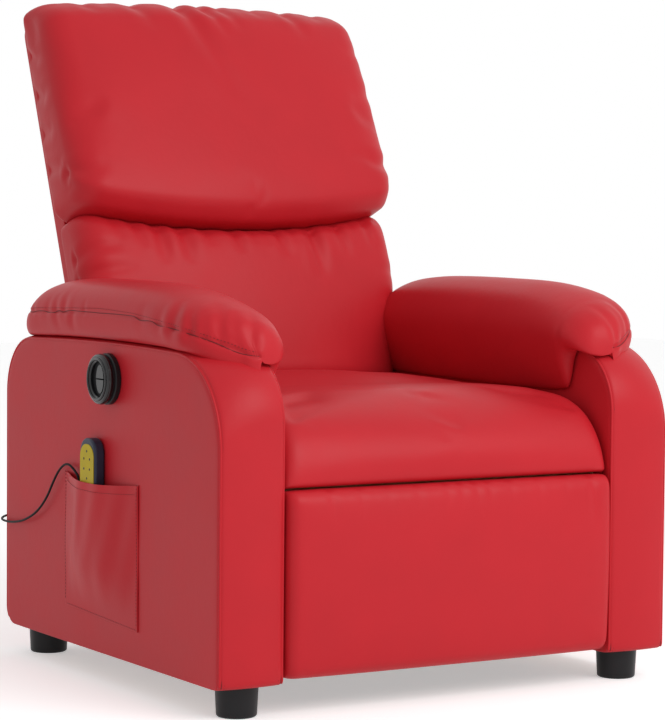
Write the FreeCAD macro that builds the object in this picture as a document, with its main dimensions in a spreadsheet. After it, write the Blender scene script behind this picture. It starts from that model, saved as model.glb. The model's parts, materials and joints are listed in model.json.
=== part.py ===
import FreeCAD, Part
import math
import os
import Sketcher

# Electric massage recliner. Millimetres, +Z up, the sitter faces -Y.
# The origin is on the floor under the middle of the chair.

SIZES = {
    # arms
    "arm_rear_y": 279, "arm_depth": 710, "arm_inner_x": 281, "arm_width": 104,
    "body_bottom": 45, "arm_rise": 225, "arm_crown": 5, "arm_front_radius": 95, "arm_rear_radius": 88,
    "arm_heel_radius": 25, "arm_edge_round": 10, "arm_wall": 12,
    "arm_frame_rail": 38, "arm_frame_width": 62,
    # arm pads
    "pad_crown": 94, "pad_outer_overhang": 8, "pad_inner_overhang": 34, "pad_drop": 64,
    "pad_front_setback": 34, "pad_rear_setback": 66, "pad_nose_lift": 40, "pad_nose": 50,
    "pad_corner": 100, "pad_edge": 6, "pad_flap_edge": 8,
    # feet
    "foot_diameter": 58, "foot_top_diameter": 62, "foot_inset_x": 54, "foot_inset_y": 46,
    "foot_round": 4,
    # footrest linkage
    "pivot_setback": 95, "pivot_height": 280, "lift_length": 185, "lift_angle": -121.6,
    "reach_length": 176.8, "reach_angle": 45, "flip_arm": 45, "flip_bend": 30,
    "steer_arm": 40, "steer_angle": -156, "link_width": 22, "link_thickness": 4,
    "link_pitch": 5, "pin_radius": 5, "spacer_radius": 7.5, "seat_fit": 0.02,
    "running_fit": 0.1, "open_fit": 0.4, "torque_tube_diameter": 20,
    "torque_tube_bore": 15,
    # base
    "plate_drop": 58, "plate_thickness": 4, "plate_top_gap": 14, "seat_rail_width": 36,
    "seat_rail_thickness": 4, "seat_board_thickness": 22, "seat_board_rim": 46,
    "seat_front_setback": 40, "seat_rear_y": 144, "strap_thickness": 2, "strap_width": 50,
    "strap_count": 5, "stretcher_setback": 262, "stretcher_depth": 22,
    "stretcher_height": 62, "rear_rail_thickness": 18, "rear_rail_height": 165,
    "rear_cover_thickness": 3, "rear_cover_rise": 55, "soft_gap": 0.3, "side_gap": 3,
    "control_box_x": 60, "control_box_width": 110, "control_box_depth": 38,
    "control_box_height": 70, "control_box_lift": 20, "inlet_x": -205, "inlet_z": 95,
    "inlet_diameter": 26, "inlet_depth": 3, "inlet_socket": 8,
    # seat cushion
    "seat_crown_rise": 164, "seat_roll_rise": 154, "seat_roll_depth": 124, "seat_back_sink": 20,
    "seat_back_rise": 42, "seat_back_tuck": 10, "seat_back_drop": 22, "seat_nose": 27,
    "seat_nose_rise": 63, "seat_lip_gap": 2, "seat_lip_edge": 6, "front_flush": 1, "rear_flush": 1,
    "seat_edge": 20, "seat_side_drop": 10, "seat_vibrator_x": 110, "seat_vibrator_y": -90,
    # footrest
    "footrest_bottom": 52, "footrest_rise": 36.5, "footrest_board_thickness": 18,
    "footrest_board_front": 20, "footrest_crown": 21, "footrest_edge": 16, "footrest_side_drop": 5,
    "footrest_bracket_flange": 20, "board_inset": 8, "board_drop": 26, "rest_low_tuck": 25,
    "rest_low_round": 8,
    "rest_low_fold": 12, "rest_low_in": 3, "rest_low_rise": 50, "rest_belly_rise": 10, "rest_seam_in": 4,
    "rest_top_drop": 30, "rest_top_round": 10, "rest_top_fold": 6, "rest_top_tuck": 28,
    # back
    "recline_pivot_y": 193, "recline_rise": 60, "back_lean": 21.4, "back_start": 32,
    "back_top": 722, "back_cover": 12, "back_frame_thickness": 22, "back_frame_rail": 26,
    "back_skin": 2.5, "back_crease": 362, "crease_gap": 2, "head_depth": 164,
    "head_top_depth": 128, "lumbar_depth": 130, "back_edge": 20, "back_room": 6,
    "head_bulge": 8, "back_side_drop": 8, "back_corner": 30, "back_rear_round": 8,
    "back_strap_count": 5, "back_strap_low": 40, "back_strap_high": 30,
    "bracket_reach": 150, "bracket_bend": 34, "bracket_offset": 20,
    "bracket_width": 30, "recline_crank": 70, "crank_lead": 17.5,
    "recline_tube_diameter": 14, "back_vibrator_x": 120, "back_vibrator_low": 450,
    "back_vibrator_high": 600, "lumbar_vibrator_x": 90, "lumbar_vibrator_z": 235,
    "frame_top_drop": 8, "cover_top_rise": 3, "head_top_rise": 6, "strap_inset": 14,
    "head_low_tuck": 76, "head_low_round": 18, "head_low_fold": 10, "head_low_rise": 46,
    "head_belly_in": 3, "head_belly_rise": 190, "head_top_drop": 38, "head_top_round": 14,
    "head_top_fold": 10, "head_top_tuck": 46, "head_rear_lift": 3,
    "lumbar_low_tuck": 58, "lumbar_low_round": 37, "lumbar_low_fold": 14, "lumbar_low_in": 28,
    "lumbar_low_rise": 42, "lumbar_belly_in": 5, "lumbar_belly_rise": 150, "lumbar_top_in": 2,
    "lumbar_full_drop": 70, "lumbar_top_drop": 38, "lumbar_top_round": 25, "lumbar_top_fold": 8,
    "lumbar_top_tuck": 50,
    # drive
    "rod_diameter": 12, "actuator_diameter": 30, "actuator_setback": 235,
    "actuator_rear_y": 40, "gearbox_side": 44, "gearbox_depth": 56, "motor_diameter": 42,
    "motor_length": 108, "drive_tube_diameter": 20, "clevis_side": 26, "clevis_slot": 3.6,
    "rod_front_y": 10, "rod_bore_length": 150, "rod_clearance": 0.1,
    "vibrator_diameter": 58, "vibrator_depth": 26,
    # switch
    "switch_y": -93, "switch_drop": 49, "switch_diameter": 76, "switch_flange": 9,
    "switch_neck": 70, "switch_height": 22, "switch_ring_bore": 52, "switch_face": 15,
    "rocker_width": 24, "rocker_height": 42, "rocker_gap": 2, "rocker_proud": 2,
    # pocket and hand control
    "pocket_front_y": -188, "pocket_rear_y": 55, "pocket_bottom": 98, "pocket_top": 307,
    "pocket_depth": 20.2, "pocket_cloth": 1.5, "pocket_flat_front": -87,
    "pocket_flat_rear": -19, "pocket_belly": 190, "handset_y": -53, "handset_width": 52,
    "handset_bottom": 205, "handset_top": 366, "handset_thickness": 17,
    "handset_top_round": 22, "handset_low_round": 12, "handset_edge": 4,
    "keypad_thickness": 0.8, "keypad_width": 45, "keypad_bottom": 262, "keypad_drop": 9,
    "keypad_top_round": 20, "keypad_low_round": 8,
    "cord_diameter": 3.6, "relief_diameter": 8, "relief_length": 14, "gland_diameter": 16,
    "gland_length": 7, "gland_x": -252, "gland_z": 205, "cord_seat": 4, "cord_fit": 0.02,
}

# Heights and places that follow another size
FOLLOWERS = {
    "arm_top": "=pivot_height + arm_rise",
    "seat_crown_height": "=pivot_height + seat_crown_rise",
    "seat_roll_height": "=pivot_height + seat_roll_rise",
    "footrest_top": "=pivot_height + footrest_rise",
    "recline_pivot_z": "=pivot_height + recline_rise",
    "rear_cover_height": "=pivot_height + rear_cover_rise",
    "switch_z": "=arm_top - switch_drop",
    "actuator_front_y": "=arm_rear_y - arm_depth + actuator_setback",
}

doc = FreeCAD.newDocument("massage_recliner")
sheet = doc.addObject("Spreadsheet::Sheet", "sizes")
for row, (alias, value) in enumerate({**SIZES, **FOLLOWERS}.items(), start=1):
    sheet.set(f"A{row}", alias.replace("_", " "))
    sheet.set(f"B{row}", str(value))
    sheet.setAlias(f"B{row}", alias)
doc.recompute()

V = FreeCAD.Vector
subparts = []


def size(alias):
    return float(sheet.get(alias))


def keep(obj, node):
    """Give a finished object its node name and put it on the list that is written."""
    obj.Label = node
    subparts.append(obj)
    return obj


def plane(body, role):
    return next(item for item in body.Origin.OriginFeatures if item.Role == role)


def sketch_on(body, role, name, offset="0"):
    sketch = body.newObject("Sketcher::SketchObject", name)
    sketch.AttachmentSupport = (plane(body, role), [""])
    sketch.MapMode = "FlatFace"
    sketch.setExpression("AttachmentOffset.Base.z", offset)
    return sketch


def draw(sketch, start, steps):
    """Draw a closed outline. A step is an end point, or a via point and an end point."""
    here = start
    for step in steps:
        if isinstance(step[0], tuple):
            via, there = step
            edge = Part.Arc(V(*here, 0), V(*via, 0), V(*there, 0))
        else:
            there = step
            edge = Part.LineSegment(V(*here, 0), V(*there, 0))
        sketch.addGeometry(edge, False)
        here = there


def draw_circle(sketch, centre, radius, expression):
    index = sketch.addGeometry(Part.Circle(V(*centre, 0), V(0, 0, 1), radius), False)
    bound = sketch.addConstraint(Sketcher.Constraint("Radius", index, radius))
    sketch.setExpression(f"Constraints[{bound}]", expression)


def pad(body, sketch, name, length):
    feature = body.newObject("PartDesign::Pad", name)
    feature.Profile = sketch
    feature.setExpression("Length", length)
    body.Tip = feature
    doc.recompute()
    return feature


def pocket_cut(body, sketch, name, length):
    before = body.Shape.Volume
    feature = body.newObject("PartDesign::Pocket", name)
    feature.Profile = sketch
    feature.Reversed = True
    feature.setExpression("Length", length)
    body.Tip = feature
    doc.recompute()
    if body.Shape.Volume > before - 1:
        raise RuntimeError(f"{name} cuts nothing")
    return feature


def fillet(body, base, name, radius, wanted):
    names = [f"Edge{i}" for i, edge in enumerate(base.Shape.Edges, 1) if wanted(edge)]
    feature = body.newObject("PartDesign::Fillet", name)
    feature.Base = (base, names)
    feature.setExpression("Radius", radius)
    body.Tip = feature
    doc.recompute()
    return feature


def box(node, low, extent):
    """A plain board: low corner and extents are expressions."""
    piece = doc.addObject("Part::Box", "Board")
    for key, text in zip(("x", "y", "z"), low):
        piece.setExpression(f"Placement.Base.{key}", text)
    for key, text in zip(("Length", "Width", "Height"), extent):
        piece.setExpression(key, text)
    doc.recompute()
    if node:
        keep(piece, node)
    return piece


def rod_along_x(radius, start, length, y, z):
    """A cylinder along X: all arguments are expressions."""
    piece = doc.addObject("Part::Cylinder", "Rod")
    piece.setExpression("Radius", radius)
    piece.setExpression("Height", length)
    piece.Placement = FreeCAD.Placement(V(0, 0, 0), FreeCAD.Rotation(V(0, 1, 0), 90))
    piece.setExpression("Placement.Base.x", start)
    piece.setExpression("Placement.Base.y", y)
    piece.setExpression("Placement.Base.z", z)
    return piece


def rod_along_y(radius, y, length, x, z):
    piece = doc.addObject("Part::Cylinder", "Rod")
    piece.setExpression("Radius", radius)
    piece.setExpression("Height", length)
    piece.Placement = FreeCAD.Placement(V(0, 0, 0), FreeCAD.Rotation(V(1, 0, 0), -90))
    piece.setExpression("Placement.Base.x", x)
    piece.setExpression("Placement.Base.y", y)
    piece.setExpression("Placement.Base.z", z)
    return piece


def cut(base, tool):
    result = doc.addObject("Part::Cut", "Cut")
    result.Base = base
    result.Tool = tool
    doc.recompute()
    return result


def fuse(pieces):
    result = doc.addObject("Part::MultiFuse", "Joined")
    result.Shapes = pieces
    doc.recompute()
    return result


def group(node, pieces):
    """Separate solids that share one node."""
    result = doc.addObject("Part::Compound", "Group")
    result.Links = pieces
    doc.recompute()
    return keep(result, node)


def feature(node, shape, placement=None):
    piece = doc.addObject("Part::Feature", "Form")
    piece.Shape = shape
    if placement is not None:
        piece.Placement = placement
    return keep(piece, node)


def across(side, near, thickness):
    """Lower X face of a slab that starts at near on either side of the chair."""
    return f"{near}" if side > 0 else f"-({near}) - ({thickness})"


def side_name(side):
    return "right" if side > 0 else "left"


# Driving places that several sub-parts share

ARM_FRONT_Y = size("arm_rear_y") - size("arm_depth")
PAD_HEM_LIFT = 0.85
ARM_OUTER_X = size("arm_inner_x") + size("arm_width")
SEAT_BOARD_BOTTOM = size("pivot_height") + size("plate_top_gap") + size("seat_rail_thickness")
RECLINE = (size("recline_pivot_y"), size("recline_pivot_z"))
ARM_FRONT = "(sizes.arm_rear_y - sizes.arm_depth)"
ARM_OUTER = "(sizes.arm_inner_x + sizes.arm_width)"
SEAT_BOTTOM = "(sizes.pivot_height + sizes.plate_top_gap + sizes.seat_rail_thickness)"


def lean_placement():
    """Place for a shape drawn with Y across the back and Z up along it."""
    turn = FreeCAD.Rotation(V(1, 0, 0), -size("back_lean"))
    return FreeCAD.Placement(V(0, *RECLINE), turn)


def swing(point, length, degrees):
    """Step from a point; 0 degrees is forward, 90 is up."""
    turn = math.radians(degrees)
    return (point[0] - length * math.cos(turn), point[1] + length * math.sin(turn))


def linkage_points():
    """Pivots of the footrest linkage with the footrest closed, as (y, z)."""
    seat_pivot = (ARM_FRONT_Y + size("pivot_setback"), size("pivot_height"))
    knee = swing(seat_pivot, size("lift_length"), size("lift_angle"))
    footrest = swing(knee, size("reach_length"), size("reach_angle"))
    flip_turn = size("lift_angle") + size("flip_bend")
    return {
        "seat": seat_pivot,
        "knee": knee,
        "footrest": footrest,
        "steer_base": swing(seat_pivot, size("steer_arm"), size("steer_angle")),
        "steer_end": swing(knee, size("steer_arm"), size("steer_angle")),
        "flip_base": swing(knee, size("flip_arm"), flip_turn),
        "flip_end": swing(footrest, size("flip_arm"), flip_turn),
    }


PIVOTS = linkage_points()


def crank_point():
    """Pin of the recline crank at rest: it leads its mid position by half the stroke."""
    lead = math.radians(size("crank_lead"))
    return (RECLINE[0] + size("recline_crank") * math.sin(lead),
            RECLINE[1] - size("recline_crank") * math.cos(lead))


CRANK = crank_point()


def layer(number):
    """Near face of a linkage layer; layer 0 is the side plate on the arm."""
    return f"(sizes.arm_inner_x - sizes.plate_thickness - {number} * sizes.link_pitch)"


def stadium(sketch, p, q, half_width):
    """Outline of a bar with round ends from p to q."""
    along = V(q[0] - p[0], q[1] - p[1], 0).normalize()
    normal = V(-along.y, along.x, 0)
    a, b = V(*p, 0), V(*q, 0)
    ends = [a + normal * half_width, b + normal * half_width,
            b - normal * half_width, a - normal * half_width]
    sketch.addGeometry(Part.LineSegment(ends[0], ends[1]), False)
    sketch.addGeometry(Part.Arc(ends[1], b + along * half_width, ends[2]), False)
    sketch.addGeometry(Part.LineSegment(ends[2], ends[3]), False)
    sketch.addGeometry(Part.Arc(ends[3], a - along * half_width, ends[0]), False)


def bar_body(chain, holes, near_face, side, width="link_width"):
    """A flat bar through a chain of pivots. holes maps a pivot to its clearance name."""
    body = doc.addObject("PartDesign::Body", "Bar")
    thickness = "sizes.link_thickness"
    offset = across(side, near_face, thickness)
    for number, (p, q) in enumerate(zip(chain, chain[1:])):
        sketch = sketch_on(body, "YZ_Plane", f"Outline{number}", offset)
        stadium(sketch, p, q, size(width) / 2)
        for pivot in (p, q):
            if pivot in holes:
                radius = size("pin_radius") + size(holes[pivot])
                draw_circle(sketch, pivot, radius, f"sizes.pin_radius + sizes.{holes[pivot]}")
        pad(body, sketch, f"Bar{number}", thickness)
    return body


# Arms

def arm_profile(inset=0.0, bottom=0.0):
    """Side outline of an arm as a start point and steps, drawn in by inset."""
    front = ARM_FRONT_Y + inset
    rear = size("arm_rear_y") - inset
    top = size("arm_top") - inset
    low = size("body_bottom") + bottom
    big = size("arm_front_radius") - inset
    small = size("arm_rear_radius") - inset
    heel = max(size("arm_heel_radius") - inset, 3)
    bow = 1 - math.sqrt(0.5)
    if bottom < 0:
        heel = 0
    start = (front, low)
    steps = [
        (front, top - big),
        ((front + big * bow, top - big * bow), (front + big, top)),
        (((front + big + rear - small) / 2, top + size("arm_crown")), (rear - small, top)),
        ((rear - small * bow, top - small * bow), (rear, top - small)),
    ]
    if heel:
        steps.append((rear, low + heel))
        steps.append(((rear - heel * bow, low + heel * bow), (rear - heel, low)))
    else:
        steps.append((rear, low))
    steps.append(start)
    return start, steps


def arm_cover(side):
    """Upholstered arm: a padded shell, open underneath."""
    body = doc.addObject("PartDesign::Body", "ArmCover")
    skin = sketch_on(body, "YZ_Plane", "Profile", across(side, "sizes.arm_inner_x", "sizes.arm_width"))
    draw(skin, *arm_profile())
    shell = pad(body, skin, "Block", "sizes.arm_width")

    def on_side_edge(edge):
        box_of = edge.BoundBox
        return box_of.XLength < 0.01 and box_of.ZMin > size("body_bottom") - 0.01 \
            and box_of.ZMax > size("body_bottom") + 0.01

    fillet(body, shell, "SoftEdges", "sizes.arm_edge_round", on_side_edge)
    hollow = sketch_on(body, "YZ_Plane", "Hollow",
                       across(side, "sizes.arm_inner_x + sizes.arm_wall",
                              "sizes.arm_width - 2 * sizes.arm_wall"))
    draw(hollow, *arm_profile(size("arm_wall"), -2))
    pocket_cut(body, hollow, "Cavity", "sizes.arm_width - 2 * sizes.arm_wall")
    keep(body, f"arm_cover_{side_name(side)}")


def arm_frame(side):
    """Timber frame inside an arm: a ring with a middle post."""
    body = doc.addObject("PartDesign::Body", "ArmFrame")
    margin = "(sizes.arm_width - sizes.arm_frame_width) / 2"
    near_face = f"sizes.arm_inner_x + {margin}"
    ring = sketch_on(body, "YZ_Plane", "Ring", across(side, near_face, "sizes.arm_frame_width"))
    inset = size("arm_wall") + size("soft_gap")
    draw(ring, *arm_profile(inset))
    rail = size("arm_frame_rail")
    front = ARM_FRONT_Y + inset + rail
    rear = size("arm_rear_y") - inset - rail
    middle = (front + rear) / 2
    low = size("body_bottom") + rail
    high = size("arm_top") - inset - rail
    corner = size("arm_front_radius") - inset
    for near, far, chamfer in ((front, middle - rail / 2, corner / 2), (middle + rail / 2, rear, 0)):
        if chamfer:
            draw(ring, (near, low), [(far, low), (far, high), (near + chamfer, high),
                                     (near, high - chamfer), (near, low)])
        else:
            draw(ring, (near, low), [(far, low), (far, high), (near, high), (near, low)])
    pad(body, ring, "Timber", "sizes.arm_frame_width")
    keep(body, f"arm_frame_{side_name(side)}")


def arm_top_at(y):
    """Height of the arm's top at a place along it."""
    big = size("arm_front_radius")
    small = size("arm_rear_radius")
    first = ARM_FRONT_Y + big
    last = size("arm_rear_y") - small
    if y < first:
        return size("arm_top") - big + math.sqrt(max(big ** 2 - (first - y) ** 2, 0))
    if y > last:
        return size("arm_top") - small + math.sqrt(max(small ** 2 - (y - last) ** 2, 0))
    share = (2 * y - first - last) / (last - first)
    return size("arm_top") + size("arm_crown") * (1 - share ** 2)


def pad_corner_at(y):
    """How far the pad's outer side is drawn in, where it turns round the nose's corner."""
    corner = size("pad_corner")
    along = max(0.0, ARM_FRONT_Y + size("pad_front_setback") + corner - y)
    return corner - math.sqrt(max(corner ** 2 - along ** 2, 0))


def pad_section(y, share, side):
    """Cross-section of an arm pad: crown on top, a flap down the inner side.

    The nose juts out over the arm's rounded front, so there its underside is lifted.
    """
    nose = max(0.0, ARM_FRONT_Y + size("pad_front_setback") + size("pad_nose") - y) / size("pad_nose")
    turned = pad_corner_at(y)
    floor = arm_top_at(y) + size("soft_gap") + size("pad_nose_lift") * nose ** 4
    edge = floor + size("pad_edge")
    crown = edge + (size("arm_top") + size("pad_crown") - edge) * share
    outer = ARM_OUTER_X + size("pad_outer_overhang") * share - turned
    inner_edge = size("arm_inner_x") - size("pad_flap_edge")
    inner = inner_edge - (size("pad_inner_overhang") - size("pad_flap_edge")) * share
    arm_side = size("arm_inner_x") - size("soft_gap")
    drop = floor - (floor - size("arm_top") + size("pad_drop")) * (1 - PAD_HEM_LIFT * nose ** 2)
    middle = (outer + inner) / 2
    rise = crown - floor
    flap = (inner + arm_side) / 2

    def at(x, z):
        return V(side * x, y, z)

    lip = at(ARM_OUTER_X - 1 - turned, floor)
    swell = at(outer, floor + 0.42 * rise)
    top = at(middle, crown)
    brow = at(inner, floor + 0.05 * rise)
    hem = at(flap - 4, drop)
    edges = [
        Part.Arc(lip, at(outer - 1, floor + 0.18 * rise), swell),
        Part.Arc(swell, at(outer - 0.16 * (outer - inner), floor + 0.86 * rise), top),
        Part.Arc(top, at(inner + 0.17 * (outer - inner), floor + 0.80 * rise), brow),
        Part.Arc(brow, at(inner - 1 + 0.12 * (flap - inner), (floor + drop) / 2 + 4 * (1 - nose)), hem),
        Part.LineSegment(hem, at(arm_side, drop)),
        Part.LineSegment(at(arm_side, drop), at(arm_side, floor)),
        Part.LineSegment(at(arm_side, floor), lip),
    ]
    return Part.Wire([edge.toShape() for edge in edges])


def back_clearance():
    """Room between the arms that the back needs, a little deeper than the lumbar cushion."""
    half = size("arm_inner_x") + size("soft_gap")
    depth = size("lumbar_depth") + size("back_room")
    room = Part.makeBox(2 * half, 2 * depth, size("back_top"), V(-half, -depth, 0))
    room.Placement = lean_placement()
    return room


def arm_block(side):
    """The arm's outer form, a soft gap larger all round, without its rounded edges."""
    gap = size("soft_gap")
    near = side * (size("arm_inner_x") - gap)
    face = Part.Face(closed_wire(near, *arm_profile(-gap)))
    return face.extrude(V(side * 2 * size("arm_width"), 0, 0))


def arm_pad(side):
    """Stuffed pad over the arm, lofted front to back through crowned sections."""
    front = ARM_FRONT_Y + size("pad_front_setback")
    rear = size("arm_rear_y") - size("pad_rear_setback")
    length = rear - front
    stations = ((0, 0.06), (0.012, 0.42), (0.024, 0.56), (0.04, 0.66), (0.06, 0.745), (0.085, 0.81),
                (0.12, 0.87), (0.17, 0.925), (0.25, 0.967), (0.45, 1.0), (0.75, 0.98), (0.88, 0.9),
                (0.95, 0.74), (0.985, 0.5), (1, 0.12))
    wires = [pad_section(front + length * along, share, side) for along, share in stations]
    solid = Part.makeLoft(wires, True, False)
    feature(f"arm_pad_{side_name(side)}", solid.cut(back_clearance()).cut(arm_block(side)))


def foot(node, side, y):
    """Round moulded foot, slightly wider where it meets the arm."""
    body = doc.addObject("PartDesign::Body", "Foot")
    sketch = sketch_on(body, "XZ_Plane", "Half")
    high = size("body_bottom")
    low_radius = size("foot_diameter") / 2
    top_radius = size("foot_top_diameter") / 2
    soft = size("foot_round")
    bow = 1 - math.sqrt(0.5)
    draw(sketch, (0, 0), [
        (low_radius - soft, 0),
        ((low_radius - soft * bow, soft * bow), (low_radius, soft)),
        (top_radius, high),
        (0, high),
        (0, 0)])
    turn = body.newObject("PartDesign::Revolution", "Turned")
    turn.Profile = sketch
    turn.ReferenceAxis = (sketch, ["V_Axis"])
    turn.Angle = 360
    body.Tip = turn
    body.setExpression("Placement.Base.x", f"{side} * ({ARM_OUTER} - sizes.foot_inset_x)")
    body.setExpression("Placement.Base.y", y)
    doc.recompute()
    keep(body, node)


# Base between the arms

def mechanism_plate(side):
    """Steel side plate on the arm's inner face. It carries every pivot."""
    body = doc.addObject("PartDesign::Body", "Plate")
    sketch = sketch_on(body, "YZ_Plane", "Outline", across(side, layer(0), "sizes.plate_thickness"))
    front = PIVOTS["seat"][0] - size("link_width")
    top = size("pivot_height") + size("plate_top_gap")
    low = top - size("plate_drop")
    ear = size("bracket_width") / 2 + 3
    rear = RECLINE[0] + ear
    shoulder = RECLINE[0] - ear
    draw(sketch, (front, low), [
        (front, top),
        (shoulder - 30, top),
        (shoulder, RECLINE[1]),
        ((RECLINE[0], RECLINE[1] + ear), (rear, RECLINE[1])),
        (rear, top),
        (rear - 40, low),
        (front, low)])
    for point in (PIVOTS["seat"], PIVOTS["steer_base"], RECLINE):
        draw_circle(sketch, point, size("pin_radius") + size("seat_fit"),
                    "sizes.pin_radius + sizes.seat_fit")
    pad(body, sketch, "Blank", "sizes.plate_thickness")
    keep(body, f"mechanism_plate_{side_name(side)}")


def pin(side, point, from_face, to_face, radius="sizes.pin_radius"):
    """A pin across some layers, from the outer face inward."""
    length = f"({from_face}) - ({to_face})"
    start = f"({to_face})" if side > 0 else f"-({from_face})"
    return rod_along_x(radius, start, length, str(point[0]), str(point[1]))


def inner_face(number):
    return layer(number)


def outer_face(number):
    return f"({layer(number)} + sizes.link_thickness)"


def stepped_pin(side, point, shoulder_from, shoulder_to, pin_from, pin_to):
    shoulder = pin(side, point, shoulder_from, shoulder_to, "sizes.spacer_radius")
    tip = pin(side, point, pin_from, pin_to)
    return fuse([shoulder, tip])


FLUSH = 0.4


def base_pins():
    pieces = []
    for side in (1, -1):
        pieces.append(stepped_pin(side, PIVOTS["seat"], f"({inner_face(0)} - 0.01)",
                                  f"({outer_face(3)} + 0.5)",
                                  outer_face(0), f"({inner_face(3)} - {FLUSH})"))
        pieces.append(pin(side, PIVOTS["steer_base"], outer_face(0), f"({inner_face(1)} - {FLUSH})"))
        pieces.append(pin(side, RECLINE, outer_face(0), f"({inner_face(1)} - {FLUSH})"))
    group("base_pins", pieces)


def seat_rails():
    """Steel ledges on top of the side plates that the seat board is screwed to."""
    rails = []
    for side in (1, -1):
        rails.append(box(None,
            (across(side, "sizes.arm_inner_x - sizes.seat_rail_width", "sizes.seat_rail_width"),
             f"{ARM_FRONT} + sizes.seat_front_setback", "sizes.pivot_height + sizes.plate_top_gap"),
            ("sizes.seat_rail_width",
             f"sizes.seat_rear_y - {ARM_FRONT} - sizes.seat_front_setback",
             "sizes.seat_rail_thickness")))
    group("seat_rails", rails)


def seat_board():
    """Plywood seat frame with an open middle for the webbing."""
    half = "(sizes.arm_inner_x - sizes.side_gap)"
    front = f"({ARM_FRONT} + sizes.seat_front_setback)"
    outer = box(None, (f"-{half}", front, SEAT_BOTTOM),
                (f"2 * {half}", f"sizes.seat_rear_y - {front}", "sizes.seat_board_thickness"))
    inner = box(None, (f"-{half} + sizes.seat_board_rim", f"{front} + sizes.seat_board_rim",
                       f"{SEAT_BOTTOM} - 1"),
                (f"2 * ({half} - sizes.seat_board_rim)",
                 f"sizes.seat_rear_y - {front} - 2 * sizes.seat_board_rim",
                 "sizes.seat_board_thickness + 2"))
    keep(cut(outer, inner), "seat_board")


def seat_straps():
    """Elastic webbing stapled across the seat board."""
    top = f"({SEAT_BOTTOM} + sizes.seat_board_thickness)"
    front = f"({ARM_FRONT} + sizes.seat_front_setback + sizes.seat_board_rim)"
    half = "(sizes.arm_inner_x - sizes.side_gap - 12)"
    span = f"(sizes.seat_rear_y - sizes.seat_board_rim - {front} - sizes.strap_width)"
    straps = []
    for number in range(int(size("strap_count"))):
        y = f"{front} + {number} * {span} / (sizes.strap_count - 1)"
        straps.append(box(None, (f"-{half}", y, top),
                          (f"2 * {half}", "sizes.strap_width", "sizes.strap_thickness")))
    group("seat_straps", straps)


def cushion_inset(share, edge, crown):
    """How far a cushion's face is drawn in at a share of its half width."""
    shoulder = 0.86
    past = max(0.0, (share - shoulder) / (1 - shoulder))
    return crown * share ** 2 + edge * (1 - math.sqrt(max(0.0, 1 - past ** 2)))


STATIONS = (-1, -0.985, -0.93, -0.8, -0.45, 0, 0.45, 0.8, 0.93, 0.985, 1)


def cushion_loft(half, edge, crown, section):
    """Loft a cushion across the chair through sections that draw in at both sides."""
    wires = []
    for share in STATIONS:
        inset = cushion_inset(abs(share), edge, crown)
        wires.append(section(share * half, inset))
    return Part.makeLoft(wires, True, False)


def closed_wire(x, start, steps):
    """A closed wire in a plane across X, from a start point and steps as in draw."""
    edges = []
    here = start
    for step in steps:
        if isinstance(step[0], tuple):
            via, there = step
            edges.append(Part.Arc(V(x, *here), V(x, *via), V(x, *there)).toShape())
        else:
            there = step
            edges.append(Part.LineSegment(V(x, *here), V(x, *there)).toShape())
        here = there
    return Part.Wire(edges)


def seat_cushion():
    """Seat cushion: flat underneath, crowned on top, rolled over the front board."""
    under = SEAT_BOARD_BOTTOM + size("seat_board_thickness") + size("strap_thickness") + size("soft_gap")
    board_front = ARM_FRONT_Y + size("seat_front_setback") - size("soft_gap")
    lip_bottom = size("footrest_top") + size("seat_lip_gap")
    lip_top = lip_bottom + size("seat_lip_edge")
    against_back = size("back_start") + size("seat_back_rise")
    rear = lean((size("seat_back_sink") - size("lumbar_depth"), against_back))[0]
    rear_low = rear - size("seat_back_tuck")
    crown = size("seat_crown_height")
    roll = size("seat_roll_height")
    roll_y = ARM_FRONT_Y + size("seat_roll_depth")
    front = ARM_FRONT_Y + size("front_flush")
    nose = (ARM_FRONT_Y + size("seat_nose"), size("footrest_top") + size("seat_nose_rise"))

    def section(x, inset):
        return closed_wire(x, (rear_low, under), [
            (rear, crown - size("seat_back_drop") - inset),
            (((rear + roll_y) / 2, crown - inset), (roll_y, roll - inset)),
            ((nose[0] + 0.5 * inset, nose[1] - 0.8 * inset), (front + 0.5 * inset, lip_top)),
            (front + size("seat_lip_gap") + 0.5 * inset, lip_bottom),
            (board_front, lip_bottom),
            (board_front, under),
            (rear_low, under)])

    half = size("arm_inner_x") - size("side_gap")
    solid = cushion_loft(half, size("seat_edge"), size("seat_side_drop"), section)
    radius, depth, gap = size("vibrator_diameter") / 2, size("vibrator_depth"), size("soft_gap")
    motors = []
    for x in (-size("seat_vibrator_x"), size("seat_vibrator_x")):
        seat = V(x, size("seat_vibrator_y"), under)
        solid = solid.cut(Part.makeCylinder(radius + gap, depth + gap, seat))
        motors.append(Part.makeCylinder(radius, depth, seat))
    feature("seat_cushion", solid)
    feature("seat_vibrators", Part.makeCompound(motors))


def cross_members():
    half = "sizes.arm_inner_x"
    box("front_stretcher", (f"-{half}", f"{ARM_FRONT} + sizes.stretcher_setback", "sizes.body_bottom"),
        (f"2 * {half}", "sizes.stretcher_depth", "sizes.stretcher_height"))
    rear = "(sizes.arm_rear_y - sizes.rear_flush - sizes.rear_cover_thickness - sizes.rear_rail_thickness)"
    box("rear_rail", (f"-{half}", rear, "sizes.body_bottom"),
        (f"2 * {half}", "sizes.rear_rail_thickness", "sizes.rear_rail_height"))
    box("rear_cover",
        (f"-{half}", "sizes.arm_rear_y - sizes.rear_flush - sizes.rear_cover_thickness", "sizes.body_bottom"),
        (f"2 * {half}", "sizes.rear_cover_thickness", "sizes.rear_cover_height"))
    box("control_box", ("sizes.control_box_x", f"{rear} - sizes.control_box_depth",
                        "sizes.body_bottom + sizes.control_box_lift"),
        ("sizes.control_box_width", "sizes.control_box_depth", "sizes.control_box_height"))


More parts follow.
